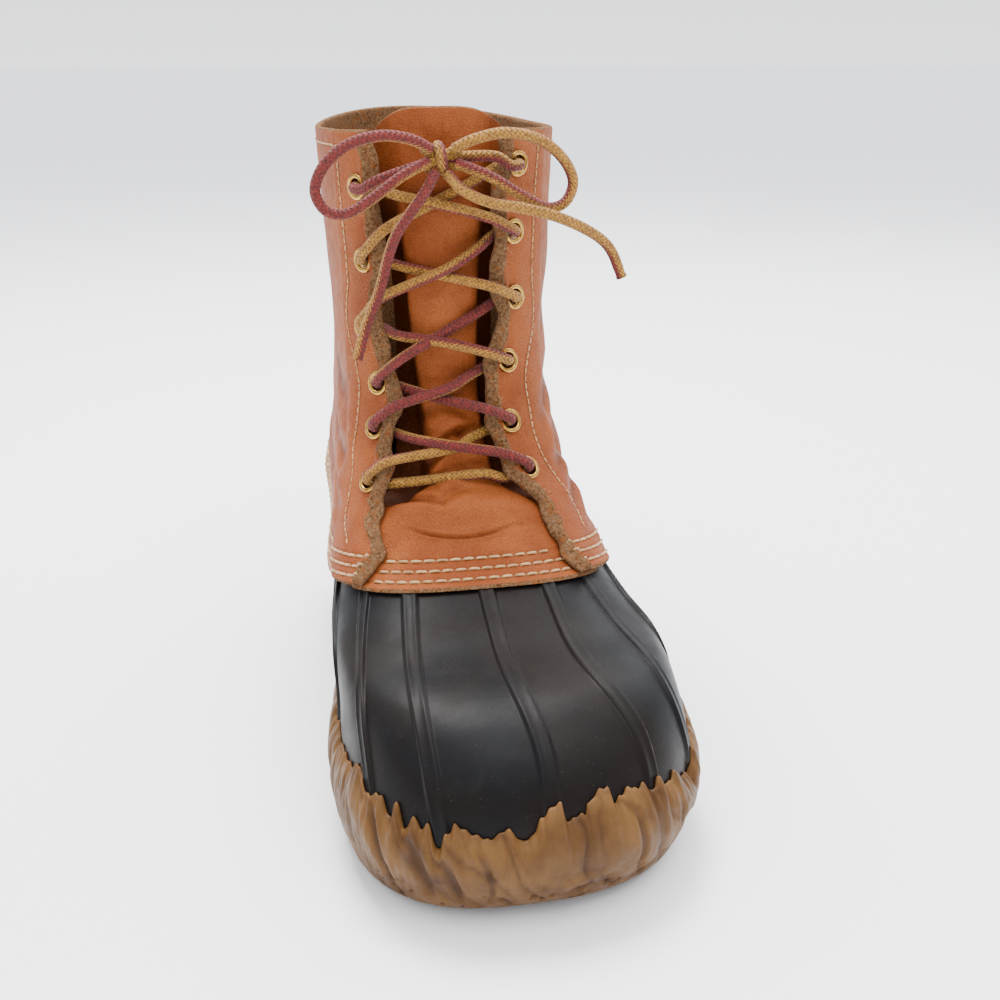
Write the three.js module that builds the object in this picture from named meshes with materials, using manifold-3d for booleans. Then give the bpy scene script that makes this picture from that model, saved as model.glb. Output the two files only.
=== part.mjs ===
// A left duck boot: a rubber lower on a crepe-coloured gum rubber sole, with a laced leather shaft.
// Millimetres, +Z up. The toe points along -Y and the outer (lateral) side is +X.
import * as THREE from "three";
import { mergeVertices } from "three/addons/utils/BufferGeometryUtils.js";
import Module from "manifold-3d";

const wasm = await Module();
wasm.setup();

// Overall sizes
const bootLength = 300;
const ballWidth = 123;
const rubberHeight = 82;
const bootHeight = 236;
const shaftWidth = 84;
const shaftDepth = 124;

// Walls and laps
const clearance = 0.3;
const lapFit = 0.5;
const sideFit = 0.7;
const rubberWall = 3;
const leatherWall = 2.4;
const tongueWall = 2;
const backstayWall = 1.8;
const backstayWidth = 26;
const throatBead = 1.9;
const throatBeadReach = 3.4;
const insoleThickness = 4;
const insoleInset = 2.4;

// Sole
const soleThickness = 9.5;
const randBulge = 5.5;
const randLip = 1;
const heelShare = 0.28;
const archRise = 4.5;
const toeSpring = 6;
const lugGrooveWidth = 4;
const lugGrooveDepth = 2;
const lugInset = 11;

// Ribs moulded on the rubber
const ribWidth = 6;
const ribHeight = 1.1;
const ribFlank = 1;

// Hardware and lace
const eyeletOuterRadius = 4.9;
const eyeletBoreRadius = 2.5;
const eyeletBarrelWall = 0.6;
const eyeletFlangeGap = 0.6;
const eyeletRim = 1.6;
const eyeletInset = 8;
const laceDiameter = 4;
const knotRadius = 5.8;

// Levels of the rubber lower, from the seat on the sole to the leather's lower edge.
// front and back are shares of bootLength from the heel end, the ups are shares of rubberHeight,
// and the sideways columns are shares of ballWidth. footprint says how much the sole's outline counts.
const lowerLevels = [
  { front: 0.967, frontUp: 0.146, frontIn: 0.016, back: 0.03, backUp: 0.134, backIn: -0.016, sideUp: 0.122,
    footprint: 1, medial: 0.423, lateral: 0.52, toeCap: 0.25, heelCap: 0.15,
    medialRound: 2.7, lateralRound: 2.4, heelRound: 2.3 },
  { front: 0.987, frontUp: 0.366, frontIn: 0.016, back: 0.013, backUp: 0.39, backIn: -0.016, sideUp: 0.366,
    footprint: 1, medial: 0.447, lateral: 0.553, toeCap: 0.25, heelCap: 0.15,
    medialRound: 2.7, lateralRound: 2.4, heelRound: 2.3 },
  { front: 0.96, frontUp: 0.61, frontIn: 0.008, back: 0.01, backUp: 0.585, backIn: -0.016, sideUp: 0.512,
    footprint: 0.97, medial: 0.447, lateral: 0.553, toeCap: 0.27, heelCap: 0.15,
    medialRound: 2.7, lateralRound: 2.4, heelRound: 2.3 },
  { front: 0.897, frontUp: 0.768, frontIn: 0, back: 0.013, backUp: 0.732, backIn: -0.016, sideUp: 0.622,
    footprint: 0.88, medial: 0.447, lateral: 0.537, toeCap: 0.3, heelCap: 0.16,
    medialRound: 2.8, lateralRound: 2.5, heelRound: 2.3 },
  { front: 0.783, frontUp: 0.829, frontIn: -0.008, back: 0.02, backUp: 0.878, backIn: -0.016, sideUp: 0.695,
    footprint: 0.62, medial: 0.439, lateral: 0.496, toeCap: 0.33, heelCap: 0.17,
    medialRound: 2.9, lateralRound: 2.7, heelRound: 2.3 },
  { front: 0.667, frontUp: 0.963, frontIn: -0.016, back: 0.03, backUp: 1, backIn: -0.016, sideUp: 0.768,
    footprint: 0.38, medial: 0.415, lateral: 0.455, toeCap: 0.36, heelCap: 0.19,
    medialRound: 3, lateralRound: 3, heelRound: 2.2 },
];

// Levels of the shaft, from the instep to just over the collar. back is a share of bootLength, depth of
// shaftDepth, the ups are shares of the shaft's own height over the rubber, and the rest of shaftWidth.
const shaftLevels = [
  { depth: 1.363, frontUp: 0.071, frontIn: -0.036, back: 0.04, backUp: 0.078, backIn: -0.024, sideUp: -0.026,
    footprint: 0.2, medial: 0.56, lateral: 0.595, toeCap: 0.4, heelCap: 0.22,
    medialRound: 2.9, lateralRound: 2.9, heelRound: 2.2 },
  { depth: 1.185, frontUp: 0.182, frontIn: -0.048, back: 0.06, backUp: 0.195, backIn: -0.024, sideUp: 0.13,
    footprint: 0.1, medial: 0.524, lateral: 0.548, toeCap: 0.44, heelCap: 0.3,
    medialRound: 2.6, lateralRound: 2.6, heelRound: 2.2 },
  { depth: 1.048, frontUp: 0.344, frontIn: -0.06, back: 0.077, backUp: 0.351, backIn: -0.012, sideUp: 0.325,
    footprint: 0, medial: 0.488, lateral: 0.5, toeCap: 0.48, heelCap: 0.42,
    medialRound: 2.4, lateralRound: 2.4, heelRound: 2.2 },
  { depth: 1, frontUp: 0.539, frontIn: -0.06, back: 0.077, backUp: 0.545, backIn: -0.012, sideUp: 0.526,
    footprint: 0, medial: 0.488, lateral: 0.506, toeCap: 0.5, heelCap: 0.48,
    medialRound: 2.4, lateralRound: 2.4, heelRound: 2.2 },
  { depth: 1.024, frontUp: 0.766, frontIn: -0.06, back: 0.063, backUp: 0.766, backIn: -0.012, sideUp: 0.753,
    footprint: 0, medial: 0.506, lateral: 0.53, toeCap: 0.5, heelCap: 0.5,
    medialRound: 2.4, lateralRound: 2.4, heelRound: 2.2 },
  { depth: 1.065, frontUp: 0.987, frontIn: -0.06, back: 0.05, backUp: 1.006, backIn: -0.012, sideUp: 0.974,
    footprint: 0, medial: 0.524, lateral: 0.548, toeCap: 0.5, heelCap: 0.5,
    medialRound: 2.4, lateralRound: 2.4, heelRound: 2.2 },
  { depth: 1.09, frontUp: 1.104, frontIn: -0.06, back: 0.04, backUp: 1.117, backIn: -0.012, sideUp: 1.084,
    footprint: 0, medial: 0.53, lateral: 0.555, toeCap: 0.5, heelCap: 0.5,
    medialRound: 2.4, lateralRound: 2.4, heelRound: 2.2 },
];

// Half widths of the footprint along the foot, as shares of the level's medial and lateral widths
const footprintRows = [
  { along: 0, medial: 0.76, lateral: 0.63 },
  { along: 0.15, medial: 0.78, lateral: 0.64 },
  { along: 0.33, medial: 0.74, lateral: 0.7 },
  { along: 0.5, medial: 0.8, lateral: 0.84 },
  { along: 0.65, medial: 0.95, lateral: 0.95 },
  { along: 0.8, medial: 1, lateral: 1 },
  { along: 1, medial: 1, lateral: 1 },
];

// Levels where edges lie. A level is a row number of the two tables together.
const randLevel = 1.34;
const leatherEdgeLevel = 4.75;
const rubberTopLevel = 5.85;
const lapLevels = [leatherEdgeLevel, 5.3, rubberTopLevel];
const collarLevel = 11;
const tongueTopLevel = 11.35;

// Where the throat's two edges and the eyelets lie. medial and lateral are distances from the
// front's middle line, as shares of shaftWidth.
const throatRows = [
  { level: 4.7, medial: 0.52, lateral: 0.494 },
  { level: 5.05, medial: 0.44, lateral: 0.418 },
  { level: 5.5, medial: 0.355, lateral: 0.377 },
  { level: 6.0, medial: 0.372, lateral: 0.36 },
  { level: 6.7, medial: 0.29, lateral: 0.243 },
  { level: 7.2, medial: 0.262, lateral: 0.182 },
  { level: 7.75, medial: 0.208, lateral: 0.17 },
  { level: 8.2, medial: 0.192, lateral: 0.165 },
  { level: 8.9, medial: 0.262, lateral: 0.23 },
  { level: 9.4, medial: 0.236, lateral: 0.216 },
  { level: 10.2, medial: 0.25, lateral: 0.225 },
  { level: 11, medial: 0.275, lateral: 0.25 },
];
const eyeletLevels = {
  medial: [6.7, 7.53, 8.15, 8.86, 9.62, 10.38],
  lateral: [6.78, 7.55, 8.4, 9.18, 9.9, 10.6],
};

// Ribs on the rubber: where each lies at the leather's edge, on the vamp, over the toe box and at the
// rand, from 0 at the front round the lateral side to 2. between is the number of facets to the next.
const ribRows = [
  { edge: -0.174, vamp: -0.181, toeBox: -0.181, rand: -0.165, between: 2 },
  { edge: -0.097, vamp: -0.099, toeBox: -0.093, rand: -0.086, between: 3 },
  { edge: 0.01, vamp: 0.007, toeBox: 0.015, rand: 0.012, between: 3 },
  { edge: 0.097, vamp: 0.092, toeBox: 0.114, rand: 0.118, between: 3 },
  { edge: 0.165, vamp: 0.182, toeBox: 0.193, rand: 0.203, between: 3 },
  { edge: 0.27, vamp: 0.285, toeBox: 0.3, rand: 0.315, between: 4 },
  { edge: 0.42, vamp: 0.435, toeBox: 0.45, rand: 0.46, between: 6 },
  { edge: 0.78, vamp: 0.775, toeBox: 0.77, rand: 0.765, between: 8 },
  { edge: 1.22, vamp: 1.225, toeBox: 1.23, rand: 1.235, between: 6 },
  { edge: 1.58, vamp: 1.565, toeBox: 1.55, rand: 1.54, between: 4 },
  { edge: 1.72, vamp: 1.705, toeBox: 1.69, rand: 1.675, between: 4 },
];

// The tongue's half width and how far it lies inside the quarters, as shares of shaftWidth
const tongueRows = [
  { level: 4.7, half: 0.63, sink: 0, puff: 0 },
  { level: 5.85, half: 0.61, sink: 0, puff: 0 },
  { level: 6.25, half: 0.56, sink: 0.02, puff: 0.045 },
  { level: 6.7, half: 0.48, sink: 0.078, puff: 0.01 },
  { level: 7.3, half: 0.41, sink: 0.085, puff: 0.03 },
  { level: 8, half: 0.38, sink: 0.085, puff: 0.02 },
  { level: 9.5, half: 0.38, sink: 0.085, puff: 0.03 },
  { level: 11, half: 0.37, sink: 0.08, puff: 0.02 },
  { level: 11.35, half: 0.3, sink: 0.08, puff: 0.01 },
];

// Smooth curve through a table's rows, by a column that holds the row's place
function hermite(before, a, b, after, f) {
  const slopeA = (b - before) / 2;
  const slopeB = (after - a) / 2;
  const blend = f * f * (3 - 2 * f);
  return a * (1 - blend) + b * blend + slopeA * f * (1 - f) ** 2 - slopeB * f * f * (1 - f);
}

function tableAt(rows, place, key, column) {
  let k = 0;
  while (k < rows.length - 2 && place > rows[k + 1][key]) k += 1;
  const span = rows[k + 1][key] - rows[k][key];
  const f = THREE.MathUtils.clamp((place - rows[k][key]) / span, 0, 1);
  const a = rows[k][column];
  const b = rows[k + 1][column];
  const before = k > 0 ? rows[k - 1][column] : 2 * a - b;
  const after = k < rows.length - 2 ? rows[k + 2][column] : 2 * b - a;
  return hermite(before, a, b, after, f);
}

// The two tables of levels in millimetres, as one list
const shaftHeight = bootHeight - rubberHeight;
const levels = [
  ...lowerLevels.map((row) => ({
    ...row,
    frontY: bootLength * (0.5 - row.front),
    backY: bootLength * (0.5 - row.back),
    frontZ: rubberHeight * row.frontUp,
    backZ: rubberHeight * row.backUp,
    sideZ: rubberHeight * row.sideUp,
    frontX: ballWidth * row.frontIn,
    backX: ballWidth * row.backIn,
    medialX: ballWidth * row.medial,
    lateralX: ballWidth * row.lateral,
  })),
  ...shaftLevels.map((row) => ({
    ...row,
    frontY: bootLength * (0.5 - row.back) - shaftDepth * row.depth,
    backY: bootLength * (0.5 - row.back),
    frontZ: rubberHeight + shaftHeight * row.frontUp,
    backZ: rubberHeight + shaftHeight * row.backUp,
    sideZ: rubberHeight + shaftHeight * row.sideUp,
    frontX: shaftWidth * row.frontIn,
    backX: shaftWidth * row.backIn,
    medialX: shaftWidth * row.medial,
    lateralX: shaftWidth * row.lateral,
  })),
];
const levelColumns = [
  "frontY", "backY", "frontZ", "backZ", "sideZ", "frontX", "backX", "medialX", "lateralX",
  "footprint", "toeCap", "heelCap", "medialRound", "lateralRound", "heelRound",
];
const topLevel = levels.length - 1;

function levelAt(level) {
  const at = THREE.MathUtils.clamp(level, 0, topLevel - 1e-9);
  const k = Math.floor(at);
  const value = {};
  for (const column of levelColumns) {
    const a = levels[k][column];
    const b = levels[k + 1][column];
    const before = k > 0 ? levels[k - 1][column] : 2 * a - b;
    const after = k + 2 <= topLevel ? levels[k + 2][column] : 2 * b - a;
    value[column] = hermite(before, a, b, after, at - k);
  }
  return value;
}

// Half of the ring at a level, from the back's middle to the front's, with the length run so far
const capSteps = 40;
const halfRings = new Map();
function halfRing(level, side) {
  const key = `${level.toFixed(5)} ${side}`;
  if (halfRings.has(key)) return halfRings.get(key);
  const row = levelAt(level);
  const round = side < 0 ? row.medialRound : row.lateralRound;
  const spots = [];
  for (let i = 0; i <= capSteps; i += 1) {
    const turn = (i / capSteps) * Math.PI / 2;
    const open = Math.cos(turn) ** (2 / row.heelRound);
    spots.push([row.heelCap * (1 - open), Math.sin(turn) ** (2 / row.heelRound)]);
  }
  for (let i = 1; i < capSteps; i += 1) {
    spots.push([THREE.MathUtils.lerp(row.heelCap, 1 - row.toeCap, i / capSteps), 1]);
  }
  for (let i = 0; i <= capSteps; i += 1) {
    const turn = (i / capSteps) * Math.PI / 2;
    const closing = Math.max(Math.cos(turn), 0) ** (2 / round);
    spots.push([1 - row.toeCap * (1 - Math.sin(turn) ** (2 / round)), closing]);
  }
  const points = spots.map(([along, out]) => {
    const name = side < 0 ? "medial" : "lateral";
    const wide = side < 0 ? row.medialX : row.lateralX;
    const outline = tableAt(footprintRows, along, "along", name);
    const reach = wide * THREE.MathUtils.lerp(1, outline, row.footprint);
    const middle = THREE.MathUtils.lerp(row.backX, row.frontX, along);
    const rise = Math.max(0, (along - 0.45) / 0.55) ** 2;
    const fall = Math.max(0, (0.45 - along) / 0.45) ** 2;
    return new THREE.Vector3(
      middle + (side * reach - middle) * out,
      THREE.MathUtils.lerp(row.backY, row.frontY, along),
      row.sideZ + (row.frontZ - row.sideZ) * rise + (row.backZ - row.sideZ) * fall,
    );
  });
  const run = [0];
  for (let i = 1; i < points.length; i += 1) run.push(run[i - 1] + points[i].distanceTo(points[i - 1]));
  const ring = { points, run, length: run[run.length - 1] };
  halfRings.set(key, ring);
  return ring;
}

// A point of the last's skin. round runs from 0 at the front to 1 at the back on the lateral side,
// and on to 2 at the front again on the medial side.
function wrapRound(round) {
  return ((round % 2) + 2) % 2;
}

function skin(level, round) {
  const turned = wrapRound(round);
  const side = turned <= 1 ? 1 : -1;
  const share = turned <= 1 ? 1 - turned : turned - 1;
  const ring = halfRing(level, side);
  const at = share * ring.length;
  let low = 0;
  let high = ring.run.length - 1;
  while (high - low > 1) {
    const middle = (low + high) >> 1;
    if (ring.run[middle] <= at) low = middle;
    else high = middle;
  }
  const f = (at - ring.run[low]) / (ring.run[high] - ring.run[low] || 1);
  return new THREE.Vector3().lerpVectors(ring.points[low], ring.points[high], f);
}

function skinNormal(level, round) {
  const stepUp = 0.04;
  const stepRound = 0.008;
  const up = skin(Math.min(level + stepUp, topLevel), round).sub(skin(Math.max(level - stepUp, 0), round));
  const along = skin(level, round + stepRound).sub(skin(level, round - stepRound));
  return new THREE.Vector3().crossVectors(up, along).multiplyScalar(-1).normalize();
}

function skinAt(level, round, out) {
  return skin(level, round).addScaledVector(skinNormal(level, round), out);
}

// The round value a distance away from the front's middle line, positive to the lateral side
function roundAt(level, distance) {
  const ring = halfRing(level, distance < 0 ? -1 : 1);
  return wrapRound(distance / ring.length);
}

function backDistance(level, side) {
  return halfRing(level, side).length;
}

// A closed sheet between an inner and an outer face. Columns run along the sheet and rows up it.
function sheetGeometry(columns, rows, outer, inner, wraps) {
  const positions = [];
  const indices = [];
  const count = wraps ? columns : columns + 1;
  const put = (face) => {
    const first = positions.length / 3;
    for (let j = 0; j <= rows; j += 1) {
      for (let i = 0; i < count; i += 1) positions.push(...face(i, j).toArray());
    }
    return first;
  };
  const outside = put(outer);
  const inside = put(inner);
  const at = (first, i, j) => first + j * count + (i % count);
  const quad = (a, b, c, d) => indices.push(a, b, c, a, c, d);
  for (let i = 0; i < columns; i += 1) {
    for (let j = 0; j < rows; j += 1) {
      quad(at(outside, i, j), at(outside, i + 1, j), at(outside, i + 1, j + 1), at(outside, i, j + 1));
      quad(at(inside, i, j), at(inside, i, j + 1), at(inside, i + 1, j + 1), at(inside, i + 1, j));
    }
    quad(at(outside, i, 0), at(inside, i, 0), at(inside, i + 1, 0), at(outside, i + 1, 0));
    quad(at(outside, i, rows), at(outside, i + 1, rows), at(inside, i + 1, rows), at(inside, i, rows));
  }
  if (!wraps) {
    for (let j = 0; j < rows; j += 1) {
      quad(at(outside, 0, j), at(outside, 0, j + 1), at(inside, 0, j + 1), at(inside, 0, j));
      quad(at(outside, columns, j), at(inside, columns, j), at(inside, columns, j + 1), at(outside, columns, j + 1));
    }
  }
  return closedGeometry(positions, indices);
}

function closedGeometry(positions, indices) {
  const geometry = new THREE.BufferGeometry();
  geometry.setAttribute("position", new THREE.Float32BufferAttribute(positions, 3));
  geometry.setIndex(indices);
  return mergeVertices(geometry, 1e-4);
}

function toSolid(geometry) {
  const bare = geometry.clone();
  bare.deleteAttribute("normal");
  bare.deleteAttribute("uv");
  const merged = mergeVertices(bare, 1e-4);
  const mesh = new wasm.Mesh({
    numProp: 3,
    vertProperties: new Float32Array(merged.attributes.position.array),
    triVerts: new Uint32Array(merged.index.array),
  });
  mesh.merge();
  return new wasm.Manifold(mesh);
}

function fromSolid(solid) {
  const mesh = solid.getMesh();
  return closedGeometry(Array.from(mesh.vertProperties), Array.from(mesh.triVerts));
}

function flipped(geometry) {
  const order = geometry.index.array;
  for (let i = 0; i < order.length; i += 3) {
    const kept = order[i + 1];
    order[i + 1] = order[i + 2];
    order[i + 2] = kept;
  }
  return geometry;
}

// Materials
const gumRubber = new THREE.MeshStandardMaterial({ color: 0xb07a48, roughness: 0.65, metalness: 0 });
const darkRubber = new THREE.MeshStandardMaterial({ color: 0x232224, roughness: 0.42, metalness: 0 });
const tanLeather = new THREE.MeshStandardMaterial({ color: 0xb3652f, roughness: 0.5, metalness: 0 });
const insoleFelt = new THREE.MeshStandardMaterial({ color: 0x4a3c30, roughness: 0.95, metalness: 0 });
const brass = new THREE.MeshStandardMaterial({ color: 0xb8923e, roughness: 0.28, metalness: 1 });
const laceCord = new THREE.MeshStandardMaterial({ color: 0x8a5636, roughness: 0.85, metalness: 0 });

const boot = new THREE.Group();
function addPiece(name, geometry, material) {
  const piece = new THREE.Mesh(geometry, material);
  piece.name = name;
  boot.add(piece);
  return piece;
}

// Sole: the underside has a heel, an arch and a toe that springs up
const heelEdgeShare = 0.03;
const archEndShare = 0.46;
const springStartShare = 0.84;
function undersideZ(y) {
  const along = 0.5 - y / bootLength;
  const breast = THREE.MathUtils.smoothstep(along, heelShare, heelShare + heelEdgeShare);
  const forefoot = 1 - THREE.MathUtils.smoothstep(along, heelShare + 2 * heelEdgeShare, archEndShare);
  const spring = THREE.MathUtils.clamp((along - springStartShare) / (1 - springStartShare), 0, 1);
  return archRise * breast * forefoot + toeSpring * spring * spring;
}

// Shares of randBulge and heights for the sole's side, from the floor up to the rand's lip
const soleSideRows = [
  { level: 0, out: 0.28, lift: 0 },
  { level: 0, out: 0.86, lift: 0.4 },
  { level: 0.3, out: 1.02, lift: 1 },
  { level: 0.62, out: 1, lift: 1 },
  { level: 0.95, out: 0.72, lift: 1 },
];
// The rand's lip goes up and down around the boot, as it was trimmed by hand
function lipLevel(round) {
  const turn = wrapRound(round) * Math.PI;
  const wave = 0.13 * Math.sin(9 * turn + 0.6) + 0.09 * Math.sin(17 * turn + 1.9);
  return randLevel + wave * THREE.MathUtils.clamp(3 - 2.5 * Math.abs(Math.sin(turn / 2)), 0.5, 1);
}

const soleColumns = 72;
function soleRound(i) {
  return (2 * i) / soleColumns;
}

function soleSidePoint(i, row) {
  const round = soleRound(i);
  const point = skinAt(row.level, round, randBulge * row.out);
  if (row.lift < 1) {
    const floor = undersideZ(point.y);
    point.z = floor + (soleThickness - 1 - floor) * row.lift;
  }
  return point;
}

function outsoleGeometry() {
  const rings = soleSideRows.map((row) => (i) => soleSidePoint(i, row));
  rings.push((i) => skinAt(lipLevel(soleRound(i)) - 0.12, soleRound(i), randLip + 0.8));
  rings.push((i) => skinAt(lipLevel(soleRound(i)), soleRound(i), randLip));
  rings.push((i) => skinAt(lipLevel(soleRound(i)), soleRound(i), lapFit));
  rings.push((i) => skinAt(0.8, soleRound(i), lapFit));
  rings.push((i) => skinAt(0, soleRound(i), lapFit));
  rings.push((i) => skinAt(0, soleRound(i), lapFit).setZ(soleThickness));
  const positions = [];
  const indices = [];
  for (const ring of rings) {
    for (let i = 0; i < soleColumns; i += 1) positions.push(...ring(i).toArray());
  }
  const at = (ring, i) => ring * soleColumns + (i % soleColumns);
  for (let ring = 0; ring + 1 < rings.length; ring += 1) {
    for (let i = 0; i < soleColumns; i += 1) {
      indices.push(at(ring, i), at(ring, i + 1), at(ring + 1, i + 1));
      indices.push(at(ring, i), at(ring + 1, i + 1), at(ring + 1, i));
    }
  }
  bridge(positions, indices, at, 0, soleColumns, 6, (point) => point.setZ(undersideZ(point.y)), true);
  bridge(positions, indices, at, rings.length - 1, soleColumns, 2, (point) => point, false);
  return closedGeometry(positions, indices);
}

// Fills a ring from side to side, with strips between its lateral and medial points
function bridge(positions, indices, at, ring, columns, across, settle, faceDown) {
  const half = columns / 2;
  const corner = (i) => new THREE.Vector3().fromArray(positions, 3 * at(ring, i));
  const rows = [];
  for (let i = 0; i <= half; i += 1) {
    const lateral = at(ring, i);
    const medial = at(ring, columns - i);
    const row = [lateral];
    if (i > 0 && i < half) {
      for (let j = 1; j < across; j += 1) {
        const point = new THREE.Vector3().lerpVectors(corner(i), corner(columns - i), j / across);
        settle(point);
        row.push(positions.length / 3);
        positions.push(...point.toArray());
      }
      row.push(medial);
    }
    rows.push(row);
  }
  const face = (a, b, c) => indices.push(...(faceDown ? [a, b, c] : [a, c, b]));
  for (let i = 0; i < half; i += 1) {
    for (let j = 0; j < across; j += 1) {
      const a = rows[i][Math.min(j, rows[i].length - 1)];
      const b = rows[i][Math.min(j + 1, rows[i].length - 1)];
      const c = rows[i + 1][Math.min(j + 1, rows[i + 1].length - 1)];
      const d = rows[i + 1][Math.min(j, rows[i + 1].length - 1)];
      if (a !== b) face(a, b, c);
      if (c !== d) face(a, c, d);
    }
  }
}

// The underside's main lugs lie between grooves across the heel and across the forefoot
const grooveRows = [
  { from: 0.07, to: 0.22, count: 4 },
  { from: 0.53, to: 0.88, count: 8 },
];
function soleEdgeX(side, y) {
  const { points } = halfRing(0, side);
  const nearest = points.slice(capSteps / 4, -capSteps / 4).reduce((a, b) => {
    return Math.abs(a.y - y) < Math.abs(b.y - y) ? a : b;
  });
  return nearest.x - side * lugInset;
}

function withGrooves(solid) {
  let cut = solid;
  for (const row of grooveRows) {
    for (let i = 0; i < row.count; i += 1) {
      const y = bootLength * (0.5 - THREE.MathUtils.lerp(row.from, row.to, i / (row.count - 1)));
      const medial = soleEdgeX(-1, y);
      const lateral = soleEdgeX(1, y);
      const top = undersideZ(y) + lugGrooveDepth;
      const groove = new THREE.BoxGeometry(lateral - medial, lugGrooveWidth, 2 * top);
      cut = cut.subtract(toSolid(groove.translate((lateral + medial) / 2, y, 0)));
    }
  }
  return cut;
}

const outsole = addPiece("outsole", fromSolid(withGrooves(toSolid(outsoleGeometry()))), gumRubber);

// Rubber lower: one hollow wall with the ribs as steps in its outer face
const ribLevels = [
  { level: 1.1, column: "rand" },
  { level: 2.3, column: "toeBox" },
  { level: 3.6, column: "vamp" },
  { level: leatherEdgeLevel, column: "edge" },
];
function ribRound(rib, level) {
  const rows = ribLevels.map((spot) => ({ level: spot.level, round: rib[spot.column] }));
  return tableAt(rows, THREE.MathUtils.clamp(level, 1.1, leatherEdgeLevel), "level", "round");
}

function lowerColumns(level) {
  const edges = [];
  ribRows.forEach((rib, k) => {
    const middle = ribRound(rib, level);
    const side = wrapRound(middle) <= 1 ? 1 : -1;
    const half = ribWidth / 2 / backDistance(level, side);
    const foot = half + ribFlank / backDistance(level, side);
    const next = k + 1 < ribRows.length ? ribRound(ribRows[k + 1], level) : ribRound(ribRows[0], level) + 2;
    const order = [[-foot, 0], [-half, 1], [half, 1], [foot, 0]];
    for (const [away, raised] of order) edges.push({ round: middle + away, raised });
    const gap = next - foot - (middle + foot);
    for (let i = 1; i < rib.between; i += 1) {
      edges.push({ round: middle + foot + (gap * i) / rib.between, raised: 0 });
    }
  });
  return edges;
}

const lowerRows = [0, 0.8, 1.6, 1.78, 2.6, 3.6, ...lapLevels];
function rubberLowerGeometry() {
  const columns = lowerRows.map((level) => lowerColumns(level));
  const fade = (level) =>
    THREE.MathUtils.smoothstep(level, 1.6, 1.75) * (1 - THREE.MathUtils.smoothstep(level, 4.1, 4.65));
  const outer = (i, j) => {
    const level = lowerRows[j];
    const { round, raised } = columns[j][i];
    return skinAt(level, round, ribHeight * raised * fade(level));
  };
  const inner = (i, j) => skinAt(lowerRows[j], columns[j][i].round, -rubberWall);
  return sheetGeometry(columns[0].length, lowerRows.length - 1, outer, inner, true);
}
addPiece("rubber_lower", rubberLowerGeometry(), darkRubber);

// Insole: lies on the sole inside the rubber
function insoleGeometry() {
  const columns = 48;
  const positions = [];
  const indices = [];
  const seat = soleThickness + clearance;
  for (const z of [seat, seat + insoleThickness]) {
    for (let i = 0; i < columns; i += 1) {
      const level = z > seat ? 0.25 : 0;
      const point = skinAt(level, (2 * i) / columns, -rubberWall - insoleInset);
      positions.push(point.x, point.y, z);
    }
  }
  const at = (ring, i) => ring * columns + (i % columns);
  for (let i = 0; i < columns; i += 1) {
    indices.push(at(0, i), at(0, i + 1), at(1, i + 1), at(0, i), at(1, i + 1), at(1, i));
  }
  bridge(positions, indices, at, 0, columns, 2, (point) => point, true);
  bridge(positions, indices, at, 1, columns, 2, (point) => point, false);
  return closedGeometry(positions, indices);
}
addPiece("insole", insoleGeometry(), insoleFelt);

// Quarters: one leather wall round the shaft, open at the throat, with a thick rolled throat edge
const vampOut = clearance + tongueWall;
const quarterIn = vampOut + lapFit;
const overVampReach = 0.77;
const overVampRamp = 0.08;
function throatEdge(level, side) {
  return shaftWidth * tableAt(throatRows, level, "level", side < 0 ? "medial" : "lateral");
}

function quarterInner(level, distance) {
  const narrowing = THREE.MathUtils.smoothstep(level, 5.9, 7.5);
  const reach = shaftWidth * THREE.MathUtils.lerp(overVampReach, 0.52, narrowing);
  const ramp = shaftWidth * overVampRamp;
  const off = THREE.MathUtils.smoothstep(distance, reach, reach + ramp);
  return THREE.MathUtils.lerp(quarterIn, sideFit, off);
}

function quarterThickness(fromEdge) {
  const bead = Math.max(0, 1 - fromEdge / throatBeadReach);
  return leatherWall + throatBead * bead * bead * (3 - 2 * bead) * (fromEdge < 0.1 ? 0.45 : 1);
}

const edgeSteps = [0, 0.9, 2, 3.4, 8, 14, 20, 26];
const sideColumns = 18;
const quarterRows = [...lapLevels, 6.1, 6.65, 7.25, 7.9, 8.6, 9.4, 10.2, collarLevel];
function quarterSpots(level) {
  const half = (side) => {
    const edge = throatEdge(level, side);
    const back = backDistance(level, side);
    const spots = edgeSteps.map((step) => ({ distance: edge + step, fromEdge: step }));
    const from = edge + edgeSteps[edgeSteps.length - 1];
    for (let i = 1; i <= sideColumns; i += 1) {
      const distance = THREE.MathUtils.lerp(from, back, i / sideColumns);
      spots.push({ distance, fromEdge: distance - edge });
    }
    return spots.map((spot) => ({ ...spot, round: spot.distance / back }));
  };
  const lateral = half(1);
  const medial = half(-1).map((spot) => ({ ...spot, round: 2 - spot.round }));
  return [...lateral, ...medial.slice(0, -1).reverse()];
}

function quartersGeometry() {
  const spots = quarterRows.map((level) => quarterSpots(level));
  const inner = (i, j) => {
    const spot = spots[j][i];
    return skinAt(quarterRows[j], spot.round, quarterInner(quarterRows[j], spot.distance));
  };
  const outer = (i, j) => {
    const spot = spots[j][i];
    const out = quarterInner(quarterRows[j], spot.distance) + quarterThickness(spot.fromEdge);
    return skinAt(quarterRows[j], spot.round, out);
  };
  return sheetGeometry(spots[0].length - 1, quarterRows.length - 1, outer, inner, false);
}

// Where an eyelet sits: its middle on the quarter's outer face, and the way it looks
function eyeletSeat(side, row) {
  const level = eyeletLevels[side < 0 ? "medial" : "lateral"][row];
  const distance = throatEdge(level, side) + eyeletInset;
  const round = roundAt(level, side * distance);
  const out = quarterInner(level, distance) + leatherWall + clearance;
  return { level, distance, round, out, point: skinAt(level, round, out), axis: skinNormal(level, round) };
}

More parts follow.
